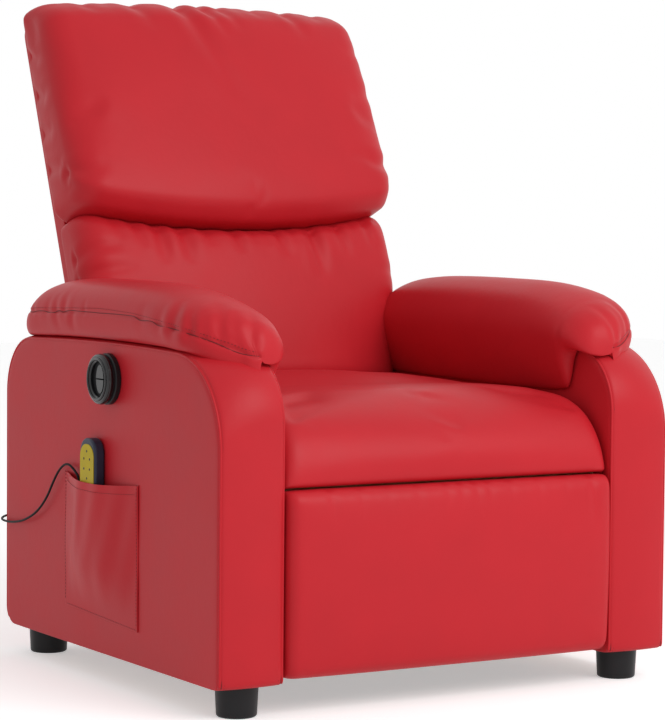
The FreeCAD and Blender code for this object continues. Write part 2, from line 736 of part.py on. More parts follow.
def power_parts():
    """Cable gland and inlet on the rear cover."""
    face = "(sizes.arm_rear_y - sizes.rear_flush)"
    gland = rod_along_y("sizes.gland_diameter / 2", face, "sizes.gland_length",
                        "sizes.gland_x", "sizes.gland_z")
    bore = rod_along_y("sizes.cord_diameter / 2 + sizes.cord_fit", f"{face} + 1",
                       "sizes.gland_length", "sizes.gland_x", "sizes.gland_z")
    doc.recompute()
    keep(cut(gland, bore), "cord_gland")
    flange = rod_along_y("sizes.inlet_diameter / 2", face, "sizes.inlet_depth",
                         "sizes.inlet_x", "sizes.inlet_z")
    socket = rod_along_y("sizes.inlet_socket / 2", f"{face} + 0.5", "sizes.inlet_depth",
                         "sizes.inlet_x", "sizes.inlet_z")
    doc.recompute()
    keep(cut(flange, socket), "power_inlet")


# Footrest linkage and footrest

def footrest_links():
    """Four bars a side: two parallelograms, so the footrest turns with the lift links."""
    seat, knee, foot_pivot = PIVOTS["seat"], PIVOTS["knee"], PIVOTS["footrest"]
    steer_base, steer_end = PIVOTS["steer_base"], PIVOTS["steer_end"]
    flip_base, flip_end = PIVOTS["flip_base"], PIVOTS["flip_end"]
    bars = {
        "lift_links": ((seat, knee, flip_base),
                       {seat: "running_fit", knee: "seat_fit", flip_base: "seat_fit"}, 3),
        "reach_links": ((steer_end, knee, foot_pivot),
                        {steer_end: "seat_fit", knee: "running_fit", foot_pivot: "seat_fit"}, 2),
        "steer_links": ((steer_base, steer_end),
                        {steer_base: "running_fit", steer_end: "open_fit"}, 1),
        "flip_links": ((flip_base, flip_end),
                       {flip_base: "running_fit", flip_end: "open_fit"}, 4),
    }
    for node, (chain, holes, number) in bars.items():
        group(node, [bar_body(chain, holes, layer(number), side) for side in (1, -1)])


def link_pins():
    lift, reach, rest = [], [], []
    for side in (1, -1):
        lift.append(pin(side, PIVOTS["knee"], f"({outer_face(2)} + {FLUSH})", inner_face(3)))
        lift.append(pin(side, PIVOTS["flip_base"], outer_face(3), f"({inner_face(4)} - {FLUSH})"))
        reach.append(pin(side, PIVOTS["steer_end"], f"({outer_face(1)} + {FLUSH})", inner_face(2)))
        reach.append(stepped_pin(side, PIVOTS["footrest"], f"({inner_face(2)} - 0.01)",
                                 f"({outer_face(5)} + 0.5)",
                                 outer_face(2), f"({inner_face(5)} - {FLUSH})"))
        rest.append(pin(side, PIVOTS["flip_end"], f"({outer_face(4)} + {FLUSH})", inner_face(5)))
    group("lift_link_pins", lift)
    group("reach_link_pins", reach)
    group("footrest_pins", rest)


def torque_tube():
    """Tube that makes the two lift links turn together."""
    half = f"({layer(3)} - 0.01)"
    y, z = (str(value) for value in PIVOTS["seat"])
    tube = rod_along_x("sizes.torque_tube_diameter / 2", f"-{half}", f"2 * {half}", y, z)
    bore = rod_along_x("sizes.torque_tube_bore / 2", f"-{half} - 1", f"2 * {half} + 2", y, z)
    doc.recompute()
    keep(cut(tube, bore), "torque_tube")


FOOTREST_BOARD_FRONT = ARM_FRONT_Y + size("footrest_board_front")


def footrest_parts():
    half = "(sizes.arm_inner_x - 2 * sizes.side_gap)"
    front = f"({ARM_FRONT} + sizes.footrest_board_front)"
    height = "sizes.footrest_top - sizes.footrest_bottom - sizes.board_inset - sizes.board_drop"
    box("footrest_board", (f"-{half}", front, "sizes.footrest_bottom + sizes.board_inset"),
        (f"2 * {half}", "sizes.footrest_board_thickness", height))
    footrest_cushion()
    group("footrest_brackets", [footrest_bracket(side) for side in (1, -1)])


def footrest_cushion():
    """Footrest cushion: a shallow bulge with drawn-in sides."""
    rear = FOOTREST_BOARD_FRONT - size("soft_gap")
    face = ARM_FRONT_Y - size("footrest_crown")
    low = size("footrest_bottom")
    high = size("footrest_top")

    bottom = (face + size("rest_low_round"), low + size("rest_low_fold"))
    toe = (face + size("rest_low_in"), low + size("rest_low_rise"))
    belly = (low + high) / 2 + size("rest_belly_rise")
    seam = (face + size("rest_seam_in"), high - size("rest_top_drop"))
    brow = (face + size("rest_top_round"), high - size("rest_top_fold"))
    lift = low + size("rest_seam_in")

    def section(x, inset):
        return closed_wire(x, (rear, lift + 0.4 * inset), [
            (face + size("rest_low_tuck") + 0.5 * inset, low + 0.4 * inset),
            ((bottom[0] + 0.8 * inset, bottom[1] + 0.4 * inset), (toe[0] + inset, toe[1])),
            ((face + inset, belly), (seam[0] + inset, seam[1] - 0.2 * inset)),
            ((brow[0] + 0.8 * inset, brow[1] - 0.3 * inset),
             (face + size("rest_top_tuck") + 0.5 * inset, high - 0.4 * inset)),
            (rear, high - 0.4 * inset),
            (rear, lift + 0.4 * inset)])

    half = size("arm_inner_x") - size("side_gap")
    solid = cushion_loft(half, size("footrest_edge"), size("footrest_side_drop"), section)
    feature("footrest_cushion", solid)


def footrest_bracket(side):
    """Steel bracket screwed to the back of the footrest board."""
    body = doc.addObject("PartDesign::Body", "Bracket")
    board_back = FOOTREST_BOARD_FRONT + size("footrest_board_thickness")
    top, low = PIVOTS["footrest"], PIVOTS["flip_end"]
    reach = size("link_width") / 2
    web = sketch_on(body, "YZ_Plane", "Web", across(side, layer(5), "sizes.link_thickness"))
    draw(web, (board_back, low[1] - reach - 8), [
        (low[0], low[1] - reach),
        (low[0] + reach, low[1]),
        (top[0] + reach, top[1]),
        (top[0], top[1] + reach),
        (board_back, top[1] + reach + 8),
        (board_back, low[1] - reach - 8)])
    draw_circle(web, top, size("pin_radius") + size("running_fit"), "sizes.pin_radius + sizes.running_fit")
    draw_circle(web, low, size("pin_radius") + size("seat_fit"), "sizes.pin_radius + sizes.seat_fit")
    pad(body, web, "Web1", "sizes.link_thickness")
    width = "sizes.footrest_bracket_flange + sizes.link_thickness"
    flange = sketch_on(body, "YZ_Plane", "Flange",
                       across(side, f"{layer(5)} - sizes.footrest_bracket_flange", width))
    foot_low, foot_high = low[1] - reach - 8, top[1] + reach + 8
    draw(flange, (board_back, foot_low), [
        (board_back + size("link_thickness"), foot_low), (board_back + size("link_thickness"), foot_high),
        (board_back, foot_high), (board_back, foot_low)])
    pad(body, flange, "Foot", width)
    return body


# Back

FRAME_FRONT = -(size("back_cover") + size("back_frame_thickness"))
STRAP_FRONT = FRAME_FRONT - size("strap_thickness")
CUSHION_REAR = STRAP_FRONT - size("soft_gap")
BACK_HALF = size("arm_inner_x") - 2.5


def lean(point):
    """Row (y, z) of a point given as (y, z) in the back's own directions."""
    turn = math.radians(size("back_lean"))
    return (RECLINE[0] + point[0] * math.cos(turn) + point[1] * math.sin(turn),
            RECLINE[1] - point[0] * math.sin(turn) + point[1] * math.cos(turn))


def back_frame():
    """Timber back frame with three windows."""
    body = doc.addObject("PartDesign::Body", "BackFrame")
    sketch = sketch_on(body, "XZ_Plane", "Ladder", "sizes.back_cover")
    half = size("arm_inner_x") - size("plate_thickness") - size("link_pitch") - 0.5
    low = size("back_start") + size("back_skin") + size("soft_gap")
    high = size("back_top") - size("frame_top_drop")
    rail = size("back_frame_rail")
    snip = size("back_corner") - size("frame_top_drop")
    draw(sketch, (-half, low), [(half, low), (half, high - snip), (half - snip, high),
                                (-half + snip, high), (-half, high - snip), (-half, low)])
    count = 3
    window = (high - low - (count + 1) * rail * 1.4) / count
    for number in range(count):
        z = low + rail * 1.4 + number * (window + rail * 1.4)
        draw(sketch, (-half + rail, z), [(half - rail, z), (half - rail, z + window),
                                         (-half + rail, z + window), (-half + rail, z)])
    pad(body, sketch, "Timber", "sizes.back_frame_thickness")
    body.Placement = lean_placement()
    doc.recompute()
    keep(body, "back_frame")


def back_cover():
    """Rear cover of the back: a shallow upholstered tray round the frame."""
    body = doc.addObject("PartDesign::Body", "BackCover")
    half = BACK_HALF
    low, high = size("back_start"), size("back_top") + size("cover_top_rise")
    soft = size("back_corner")
    bow = soft * (1 - math.sqrt(0.5))
    outline = sketch_on(body, "XZ_Plane", "Outline")
    draw(outline, (-half, low), [
        (half, low), (half, high - soft), ((half - bow, high - bow), (half - soft, high)),
        (-half + soft, high), ((-half + bow, high - bow), (-half, high - soft)), (-half, low)])
    block = pad(body, outline, "Block", "sizes.back_cover + sizes.back_frame_thickness")
    fillet(body, block, "RearEdge", "sizes.back_rear_round",
           lambda edge: edge.BoundBox.YLength < 0.01 and edge.BoundBox.YMin > -0.01)
    skin = size("back_skin")
    cavity = sketch_on(body, "XZ_Plane", "Cavity", "sizes.back_cover - 0.01")
    inner = soft - skin
    bend = inner * (1 - math.sqrt(0.5))
    draw(cavity, (-half + skin, low + skin), [
        (half - skin, low + skin), (half - skin, high - soft),
        ((half - skin - bend, high - skin - bend), (half - soft, high - skin)),
        (-half + soft, high - skin), ((-half + skin + bend, high - skin - bend), (-half + skin, high - soft)),
        (-half + skin, low + skin)])
    pocket_cut(body, cavity, "Tray", "sizes.back_frame_thickness + 2")
    body.Placement = lean_placement()
    doc.recompute()
    slots = doc.addObject("Part::Feature", "BracketSlots")
    slots.Shape = bracket_slots()
    slots.Placement = lean_placement()
    keep(cut(body, slots), "back_cover")


def bracket_slots():
    """Room in the tray for the two back brackets, with wider mouths in its floor."""
    gap = size("soft_gap")
    width = size("link_thickness") + 2 * gap
    outer = size("arm_inner_x") - size("link_pitch") + gap
    half = size("bracket_width") / 2 + gap
    low = size("back_start") - 1
    pieces = []
    for x in (outer - width, -outer):
        pieces.append(Part.makeBox(width, 2 * half, size("bracket_reach") + half - low,
                                   V(x, -size("bracket_offset") - half, low)))
        pieces.append(Part.makeBox(width, 2 * half + 6, 3 * size("back_skin"),
                                   V(x, -size("bracket_offset") - half - 2, low)))
    return Part.makeCompound(pieces)


def back_straps():
    """Elastic webbing across the front of the back frame."""
    half = BACK_HALF - size("strap_inset")
    low = size("back_start") + size("back_strap_low")
    span = size("back_top") - size("back_strap_high") - size("strap_width") - low
    straps = []
    for number in range(int(size("back_strap_count"))):
        z = low + number * span / (size("back_strap_count") - 1)
        straps.append(Part.makeBox(2 * half, size("strap_thickness"), size("strap_width"),
                                   V(-half, STRAP_FRONT, z)))
    feature("back_straps", Part.makeCompound(straps), lean_placement())


HEAD_VIBRATORS = [(side * size("back_vibrator_x"), size(f"back_vibrator_{row}"))
                  for side in (-1, 1) for row in ("low", "high")]
LUMBAR_VIBRATORS = [(side * size("lumbar_vibrator_x"), size("lumbar_vibrator_z")) for side in (-1, 1)]


def with_vibrators(solid, places):
    radius = size("vibrator_diameter") / 2
    for x, z in places:
        hole = Part.makeCylinder(radius + size("soft_gap"), size("vibrator_depth") + size("soft_gap"),
                                 V(x, CUSHION_REAR + 0.01, z), V(0, -1, 0))
        solid = solid.cut(hole)
    return solid


def head_cushion():
    """Head cushion: deepest just above the crease, thinner at the top."""
    low = size("back_crease") + size("crease_gap")
    high = size("back_top") + size("head_top_rise")
    deep, shallow = -size("head_depth"), -size("head_top_depth")

    bottom = (deep + size("head_low_round"), low + size("head_low_fold"))
    nose = (deep, low + size("head_low_rise"))
    belly = (deep + size("head_belly_in"), low + size("head_belly_rise"))
    shoulder = (shallow, high - size("head_top_drop"))
    brow = (shallow + size("head_top_round"), high - size("head_top_fold"))
    lift = low + size("head_rear_lift")

    def section(x, inset):
        return closed_wire(x, (CUSHION_REAR, lift + 0.3 * inset), [
            (deep + size("head_low_tuck"), low + 0.3 * inset),
            ((bottom[0] + 0.7 * inset, bottom[1] + 0.4 * inset), (nose[0] + inset, nose[1])),
            ((belly[0] + inset, belly[1]), (shoulder[0] + 0.8 * inset, shoulder[1] - 0.3 * inset)),
            ((brow[0] + 0.6 * inset, brow[1] - 0.5 * inset),
             (shallow + size("head_top_tuck"), high - 0.6 * inset)),
            (CUSHION_REAR, high - size("head_top_rise") - 0.6 * inset),
            (CUSHION_REAR, lift + 0.3 * inset)])

    half = BACK_HALF + size("head_bulge")
    solid = cushion_loft(half, size("back_edge"), size("back_side_drop"), section)
    feature("head_cushion", with_vibrators(solid, HEAD_VIBRATORS), lean_placement())


def lumbar_cushion():
    """Lumbar cushion: tapers down behind the seat, full just under the crease."""
    low = size("back_start")
    high = size("back_crease") - size("crease_gap") / 2
    deep = -size("lumbar_depth")

    bottom = (deep + size("lumbar_low_round"), low + size("lumbar_low_fold"))
    waist = (deep + size("lumbar_low_in"), low + size("lumbar_low_rise"))
    belly = (deep + size("lumbar_belly_in"), low + size("lumbar_belly_rise"))
    full = deep + size("lumbar_top_in")
    brow = (deep + size("lumbar_top_round"), high - size("lumbar_top_fold"))

    def section(x, inset):
        return closed_wire(x, (CUSHION_REAR, low), [
            (deep + size("lumbar_low_tuck"), low),
            ((bottom[0] + 0.5 * inset, bottom[1]), (waist[0] + inset, waist[1])),
            ((belly[0] + inset, belly[1]), (full + inset, high - size("lumbar_full_drop"))),
            ((full + inset, high - size("lumbar_top_drop")), (brow[0] + 0.8 * inset, brow[1] - 0.3 * inset)),
            (deep + size("lumbar_top_tuck") + 0.5 * inset, high - 0.5 * inset),
            (CUSHION_REAR, high - 0.5 * inset),
            (CUSHION_REAR, low)])

    solid = cushion_loft(BACK_HALF, size("back_edge"), size("back_side_drop"), section)
    feature("lumbar_cushion", with_vibrators(solid, LUMBAR_VIBRATORS), lean_placement())


def back_vibrators():
    radius = size("vibrator_diameter") / 2
    motors = [Part.makeCylinder(radius, size("vibrator_depth"), V(x, CUSHION_REAR, z), V(0, -1, 0))
              for x, z in HEAD_VIBRATORS + LUMBAR_VIBRATORS]
    feature("back_vibrators", Part.makeCompound(motors), lean_placement())


def back_bracket(side):
    """Steel bracket: from the back frame past the recline pivot to the crank."""
    upper = lean((-size("bracket_offset"), size("bracket_reach")))
    bend = lean((-size("bracket_offset"), size("bracket_bend")))
    body = bar_body((upper, bend, RECLINE, CRANK), {RECLINE: "running_fit"}, layer(1), side,
                    "bracket_width")
    keep(body, f"back_bracket_{side_name(side)}")


def recline_tube():
    half = f"({layer(1)} - 0.01)"
    keep(rod_along_x("sizes.recline_tube_diameter / 2", f"-{half}", f"2 * {half}",
                     str(CRANK[0]), str(CRANK[1])), "recline_tube")


# Drive

ROD_Z = (CRANK[1] + RECLINE[1] - size("recline_crank")) / 2


def drive_parts():
    """Linear actuator: motor, gearbox, outer tube, rod and slotted clevis."""
    z = str(ROD_Z)
    half = "sizes.arm_inner_x - sizes.plate_thickness"
    mount_y = "(sizes.actuator_front_y - sizes.gearbox_depth - sizes.drive_tube_diameter / 2)"
    cross = rod_along_x("sizes.drive_tube_diameter / 2", f"-({half})", f"2 * ({half})", mount_y, z)
    keep(cross, "drive_cross_tube")
    tube = rod_along_y("sizes.actuator_diameter / 2", "sizes.actuator_front_y",
                       "sizes.actuator_rear_y - sizes.actuator_front_y", "0", z)
    bore = rod_along_y("sizes.rod_diameter / 2 + sizes.rod_clearance",
                       "sizes.actuator_rear_y - sizes.rod_bore_length", "sizes.rod_bore_length + 1", "0", z)
    doc.recompute()
    keep(cut(tube, bore), "actuator_tube")
    side = "sizes.gearbox_side"
    gearbox = box(None, (f"-{side} / 2", "sizes.actuator_front_y - sizes.gearbox_depth", f"{z} - {side} / 2"),
                  (side, "sizes.gearbox_depth", side))
    keep(gearbox, "gearbox")
    motor = doc.addObject("Part::Cylinder", "Motor")
    motor.setExpression("Radius", "sizes.motor_diameter / 2")
    motor.setExpression("Height", "sizes.motor_length")
    motor.setExpression("Placement.Base.y", "sizes.actuator_front_y - sizes.gearbox_depth / 2")
    motor.setExpression("Placement.Base.z", f"{z} - {side} / 2 - sizes.motor_length")
    doc.recompute()
    keep(motor, "drive_motor")
    rod_parts(z)


def rod_parts(z):
    side = "sizes.clevis_side"
    front = f"({CRANK[0]} - {side} / 2)"
    keep(rod_along_y("sizes.rod_diameter / 2", "sizes.rod_front_y", f"{front} - sizes.rod_front_y",
                     "0", z), "actuator_rod")
    block = box(None, (f"-{side} / 2", front, f"{z} - {side} / 2 - 2"), (side, side, f"{side} + 4"))
    radius = "sizes.recline_tube_diameter / 2 + sizes.open_fit"
    slots = []
    for shift in ("- sizes.clevis_slot / 2", "+ sizes.clevis_slot / 2"):
        slots.append(rod_along_x(radius, f"-{side}", f"2 * {side}", str(CRANK[0]), f"{z} {shift}"))
    slots.append(box(None, (f"-{side}", f"{CRANK[0]} - ({radius})", f"{z} - sizes.clevis_slot / 2"),
                     (f"2 * {side}", f"2 * ({radius})", "sizes.clevis_slot")))
    keep(cut(block, fuse(slots)), "rod_clevis")


# Switch, pocket and hand control on the left arm

def turned_on_side(start, steps):
    """Revolve a half profile of (height out of the arm, radius) about the switch axis."""
    edges = []
    here = start

    def at(point):
        return V(-ARM_OUTER_X - point[0], size("switch_y"), size("switch_z") + point[1])

    for step in steps:
        if isinstance(step[0], tuple):
            via, there = step
            edges.append(Part.Arc(at(here), at(via), at(there)).toShape())
        else:
            there = step
            edges.append(Part.LineSegment(at(here), at(there)).toShape())
        here = there
    face = Part.Face(Part.Wire(edges))
    return face.revolve(V(0, size("switch_y"), size("switch_z")), V(1, 0, 0), 360)


def rocker_oval(low, high, grow):
    """Upright oval prism for the switch's button recess."""
    centre = V(-ARM_OUTER_X - low, size("switch_y"), size("switch_z"))
    oval = Part.Ellipse(V(0, 0, 0), size("rocker_height") / 2 + grow, size("rocker_width") / 2 + grow)
    face = Part.Face(Part.Wire([oval.toShape()]))
    face.Placement = FreeCAD.Placement(centre, FreeCAD.Rotation(V(0, 1, 0), -90))
    return face.extrude(V(-(high - low), 0, 0))


def switch_parts():
    outer = size("switch_diameter") / 2
    neck = size("switch_neck") / 2
    flange = size("switch_flange")
    bore = size("switch_ring_bore") / 2
    face = size("switch_face")
    high = size("switch_height")
    gap = size("soft_gap")
    bezel = turned_on_side((gap, 0), [
        (gap, outer - 1), ((gap + 0.6, outer - 0.2), (1.5, outer)), (flange - 1.5, outer),
        (flange, outer - 1.5), (flange, neck), (flange + 3, neck), (flange + 3, bore - 0.2),
        (face, bore - 0.2), (face, 0), (gap, 0)])
    recess = rocker_oval(0, face + 1, gap)
    feature("switch_bezel", bezel.cut(recess))
    ring = turned_on_side((flange + 3, bore), [
        (flange + 3, outer - 3), ((flange + 6, outer - 0.5), (high - 4, outer - 1)),
        ((high - 0.5, outer - 3.5), (high - 0.5, outer - 6)),
        ((high, (outer + bore) / 2), (high - 1, bore + 2)),
        (high - 3, bore), (flange + 3, bore)])
    feature("switch_ring", ring)
    button = rocker_oval(face - 6, face + size("rocker_proud"), 0)
    half_gap = size("rocker_gap") / 2
    reach = size("switch_diameter")
    for word, low in (("up", half_gap), ("down", -reach - half_gap)):
        slab = Part.makeBox(reach, reach, reach, V(-ARM_OUTER_X - reach / 2, size("switch_y") - reach / 2,
                                                   size("switch_z") + low))
        feature(f"switch_button_{word}", button.common(slab))


def pocket_section(z, depth, shrink):
    """Level section of the pocket cloth, seen from above."""
    base = -ARM_OUTER_X - size("soft_gap")
    out = base - depth
    points = [V(base, size("pocket_rear_y") - shrink * 3, z),
              V(out, size("pocket_flat_rear") - shrink * 0.4, z),
              V(out, size("pocket_flat_front") + shrink * 0.4, z),
              V(base, size("pocket_front_y") + shrink * 8, z)]
    return Part.makePolygon(points + [points[0]])


def side_pocket():
    """Cloth pocket sewn on three sides and open at the top, with room for the control."""
    cloth = size("pocket_cloth")
    low, high, belly = size("pocket_bottom"), size("pocket_top"), size("pocket_belly")
    deep = size("pocket_depth")
    outer = Part.makeLoft([pocket_section(low, cloth, 0), pocket_section(belly, deep, 0),
                           pocket_section(high, deep, 0)], True, True)
    thin = 2 * size("soft_gap")
    inner = Part.makeLoft([pocket_section(low + 4, thin, cloth),
                           pocket_section(belly + 1, deep - cloth, cloth),
                           pocket_section(high + 1, deep - cloth, cloth)], True, True)
    margin = 50
    backing = Part.makeBox(thin, size("pocket_rear_y") - size("pocket_front_y") + 2 * margin,
                           high - low + 2 * margin,
                           V(-ARM_OUTER_X - size("soft_gap"), size("pocket_front_y") - margin, low - margin))
    feature("side_pocket", outer.cut(inner).cut(backing))


def rounded_plate(y_half, low, high, top_radius, low_radius):
    """Outline steps of a hand control in the plane of the arm's side."""
    bow = 1 - math.sqrt(0.5)
    centre = size("handset_y")
    left, right = centre - y_half, centre + y_half
    return (left, low + low_radius), [
        (left, high - top_radius),
        ((left + top_radius * bow, high - top_radius * bow), (left + top_radius, high)),
        (right - top_radius, high),
        ((right - top_radius * bow, high - top_radius * bow), (right, high - top_radius)),
        (right, low + low_radius),
        ((right - low_radius * bow, low + low_radius * bow), (right - low_radius, low)),
        (left + low_radius, low),
        ((left + low_radius * bow, low + low_radius * bow), (left, low + low_radius))]


def handset():
    body = doc.addObject("PartDesign::Body", "Handset")
    back = f"({ARM_OUTER} + 2 * sizes.soft_gap)"
    sketch = sketch_on(body, "YZ_Plane", "Outline", f"-{back} - sizes.handset_thickness")
    draw(sketch, *rounded_plate(size("handset_width") / 2, size("handset_bottom"), size("handset_top"),
                                size("handset_top_round"), size("handset_low_round")))
    block = pad(body, sketch, "Shell", "sizes.handset_thickness")
    fillet(body, block, "SoftEdges", "sizes.handset_edge", lambda edge: edge.BoundBox.XLength < 0.01)
    keep(body, "handset_shell")
    keypad = doc.addObject("PartDesign::Body", "Keypad")
    near = f"-{back} - sizes.handset_thickness - sizes.keypad_thickness"
    face = sketch_on(keypad, "YZ_Plane", "Outline", near)
    top = size("handset_top") - size("keypad_drop")
    draw(face, *rounded_plate(size("keypad_width") / 2, size("keypad_bottom"), top,
                              size("keypad_top_round"), size("keypad_low_round")))
    pad(keypad, face, "Sheet", "sizes.keypad_thickness")
    keep(keypad, "handset_keypad")


HANDSET_X = -(ARM_OUTER_X + 2 * size("soft_gap") + size("handset_thickness") / 2)


def strain_relief():
    low = size("handset_bottom") - size("relief_length")
    radius = size("relief_diameter") / 2
    sleeve = Part.makeCone(radius * 0.75, radius, size("relief_length"), V(HANDSET_X, size("handset_y"), low))
    bore = Part.makeCylinder(size("cord_diameter") / 2 + size("cord_fit"), size("cord_seat") + 1,
                             V(HANDSET_X, size("handset_y"), low - 1))
    feature("strain_relief", sleeve.cut(bore))


def cord_route():
    """Chosen by hand: steps from the hand control, the pocket's rim, the arm's rear and the gland."""
    hand = V(HANDSET_X, size("handset_y"), size("handset_bottom"))
    rim = V(-ARM_OUTER_X, size("handset_y"), size("pocket_top"))
    corner = V(-ARM_OUTER_X, size("arm_rear_y"), size("gland_z"))
    gland = V(size("gland_x"), size("arm_rear_y"), size("gland_z"))
    seated = size("cord_seat") - size("relief_length")
    steps = [
        (hand, [(0, 0, seated), (0, 0, -29), (0.1, 8, -47), (0.5, 26, -53), (1.1, 40, -43),
                (1.9, 46, -21), (2.3, 46, 23)]),
        (rim, [(-6.7, 46, -37), (-6.6, 48, -7), (-6.8, 67, 6), (-7, 91, 14), (-7.4, 115, 4),
               (-7.8, 137, -17), (-8, 161, -46)]),
        (corner, [(-8.6, -136, 30), (-9, -89, 12), (-8.6, -41, 4), (-6, 1, 3), (2, 22, 5), (21, 29, 9)]),
        (gland, [(-78, 30, 9), (-42, 29, 3), (-12, 33, 0), (0, 27, 0), (0, size("rear_flush"), 0)])]
    return [place + V(*step) for place, run in steps for step in run]


def tangent_path(points):
    """Straight runs joined by tangent arcs, each as large as its two runs allow."""
    edges = []
    here = points[0]
    radii = []
    for before, corner, after in zip(points, points[1:], points[2:]):
        to_before = (before - corner).normalize()
        to_after = (after - corner).normalize()
        half_turn = (math.pi - to_before.getAngle(to_after)) / 2
        shorter = min((before - corner).Length, (after - corner).Length)
        trim = 0.45 * shorter
        radius = trim / math.tan(half_turn)
        radii.append(radius)
        first = corner + to_before * trim
        last = corner + to_after * trim
        bisector = (to_before + to_after).normalize()
        centre = corner + bisector * (radius / math.cos(half_turn))
        middle = centre - bisector * radius
        edges.append(Part.LineSegment(here, first).toShape())
        edges.append(Part.Arc(first, middle, last).toShape())
        here = last
    edges.append(Part.LineSegment(here, points[-1]).toShape())
    print("cord radii", [round(radius, 1) for radius in radii])
    return Part.Wire(edges)


def control_cord():
    path = tangent_path(cord_route())
    radius = size("cord_diameter") / 2
    start = path.Edges[0]
    ring = Part.Circle(start.Vertexes[0].Point, start.tangentAt(start.FirstParameter), radius)
    profile = Part.Wire([ring.toShape()])
    tube = path.makePipeShell([profile], True, False)
    expected = math.pi * radius ** 2 * path.Length
    print("cord length", round(path.Length, 1), "volume ratio", round(tube.Volume / expected, 4))
    feature("control_cord", tube)


def build():
    for side in (1, -1):
        arm_cover(side)
        arm_frame(side)
        arm_pad(side)
        word = side_name(side)
        foot(f"foot_front_{word}", side, f"{ARM_FRONT} + sizes.foot_inset_y")
        foot(f"foot_rear_{word}", side, "sizes.arm_rear_y - sizes.foot_inset_y")
        mechanism_plate(side)
        back_bracket(side)
    seat_rails()
    footrest_links()
    base_pins()
    seat_board()
    seat_straps()
    seat_cushion()
    cross_members()
    power_parts()
    link_pins()
    torque_tube()
    footrest_parts()
    back_frame()
    back_cover()
    back_straps()
    head_cushion()
    lumbar_cushion()
    back_vibrators()
    recline_tube()
    drive_parts()
    switch_parts()
    side_pocket()
    handset()
    strain_relief()
    control_cord()


def check_and_write():
    doc.recompute()
    for obj in doc.Objects:
        if "Invalid" in obj.State or "Error" in obj.State:
            raise RuntimeError(f"{obj.Name} {obj.Label} failed: {obj.State}")
    for obj in subparts:
        if obj.Shape.isNull() or not obj.Shape.isValid() or obj.Shape.Volume <= 0:
            raise RuntimeError(f"{obj.Label} has no valid shape")
    os.makedirs("parts", exist_ok=True)
    for obj in subparts:
        obj.Shape.exportStep(f"parts/{obj.Label}.step")
    print(len(subparts), "sub-parts written")


build()
check_and_write()
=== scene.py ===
# %% [markdown]
# # An electric massage recliner, dressed in Blender
# The CAD frame gives every rigid part its place, size and joint. This script adds what
# makes the chair look real: stuffed cushions, seams, a hanging cord and procedural
# materials. Lengths are metres, +Z is up and the sitter faces -Y.

# %% Start with the CAD frame
import json
import math

import bmesh
import bpy
import numpy as np
from mathutils import Matrix, Vector


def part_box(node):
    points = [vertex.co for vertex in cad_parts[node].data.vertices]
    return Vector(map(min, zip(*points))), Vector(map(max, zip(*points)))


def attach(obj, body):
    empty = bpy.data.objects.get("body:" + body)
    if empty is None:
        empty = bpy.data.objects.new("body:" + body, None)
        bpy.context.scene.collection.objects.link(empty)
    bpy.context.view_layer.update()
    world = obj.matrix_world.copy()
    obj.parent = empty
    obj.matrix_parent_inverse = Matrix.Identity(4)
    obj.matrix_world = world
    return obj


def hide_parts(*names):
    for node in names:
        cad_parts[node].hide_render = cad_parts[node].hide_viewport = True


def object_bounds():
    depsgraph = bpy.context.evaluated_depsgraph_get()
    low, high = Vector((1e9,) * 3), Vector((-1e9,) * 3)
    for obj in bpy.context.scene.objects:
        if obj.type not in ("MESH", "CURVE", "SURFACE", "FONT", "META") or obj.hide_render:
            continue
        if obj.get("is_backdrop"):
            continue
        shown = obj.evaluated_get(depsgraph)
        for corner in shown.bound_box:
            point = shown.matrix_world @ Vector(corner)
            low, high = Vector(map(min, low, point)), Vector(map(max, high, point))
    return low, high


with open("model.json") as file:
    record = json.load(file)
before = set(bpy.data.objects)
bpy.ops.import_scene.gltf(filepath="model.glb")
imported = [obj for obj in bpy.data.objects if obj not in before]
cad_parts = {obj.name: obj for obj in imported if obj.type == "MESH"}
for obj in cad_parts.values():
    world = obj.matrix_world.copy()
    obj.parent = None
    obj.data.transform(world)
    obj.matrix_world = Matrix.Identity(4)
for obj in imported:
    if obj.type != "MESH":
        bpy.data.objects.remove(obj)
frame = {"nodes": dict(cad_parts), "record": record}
cad_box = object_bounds()

# %% [markdown]
# The photograph was taken from the front left, a little above the seat. The camera's place
# and turn come from the chair's straight edges and its feet, so the render can be laid
# over the photograph.

# %% The camera
CAMERA_PLACE = Vector((-2.1072, -3.5793, 0.7084))
CAMERA_YAW = 0.54307
CAMERA_DOWN = 0.05718
CAMERA_ROLL = 0.00860
LENS = 131.88


def camera_turn(yaw, down, roll):
    """Rotation of a camera that looks along yaw, tipped down and rolled."""
    level = Vector((math.sin(yaw), math.cos(yaw), 0))
    side = Vector((math.cos(yaw), -math.sin(yaw), 0))
    up = Vector((0, 0, 1))
    forward = level * math.cos(down) - up * math.sin(down)
    over = up * math.cos(down) + level * math.sin(down)
    right = side * math.cos(roll) + over * math.sin(roll)
    above = over * math.cos(roll) - side * math.sin(roll)
    return Matrix((right, above, -forward)).transposed().to_quaternion()


camera_data = bpy.data.cameras.new("photographer")
camera_data.lens = LENS
camera = bpy.data.objects.new("photographer", camera_data)
camera.location = CAMERA_PLACE
camera.rotation_mode = "QUATERNION"
camera.rotation_quaternion = camera_turn(CAMERA_YAW, CAMERA_DOWN, CAMERA_ROLL)
bpy.context.scene.collection.objects.link(camera)
bpy.context.scene.camera = camera
print("camera at", tuple(round(value, 2) for value in camera.location))

# %% [markdown]
# A material is a small graph of nodes. Written as sums and products in Python it stays
# readable, so one class wraps a socket and turns the operators into Math nodes. Colours
# are kept out of it, because a Math node would turn them grey: they go through Mix nodes.

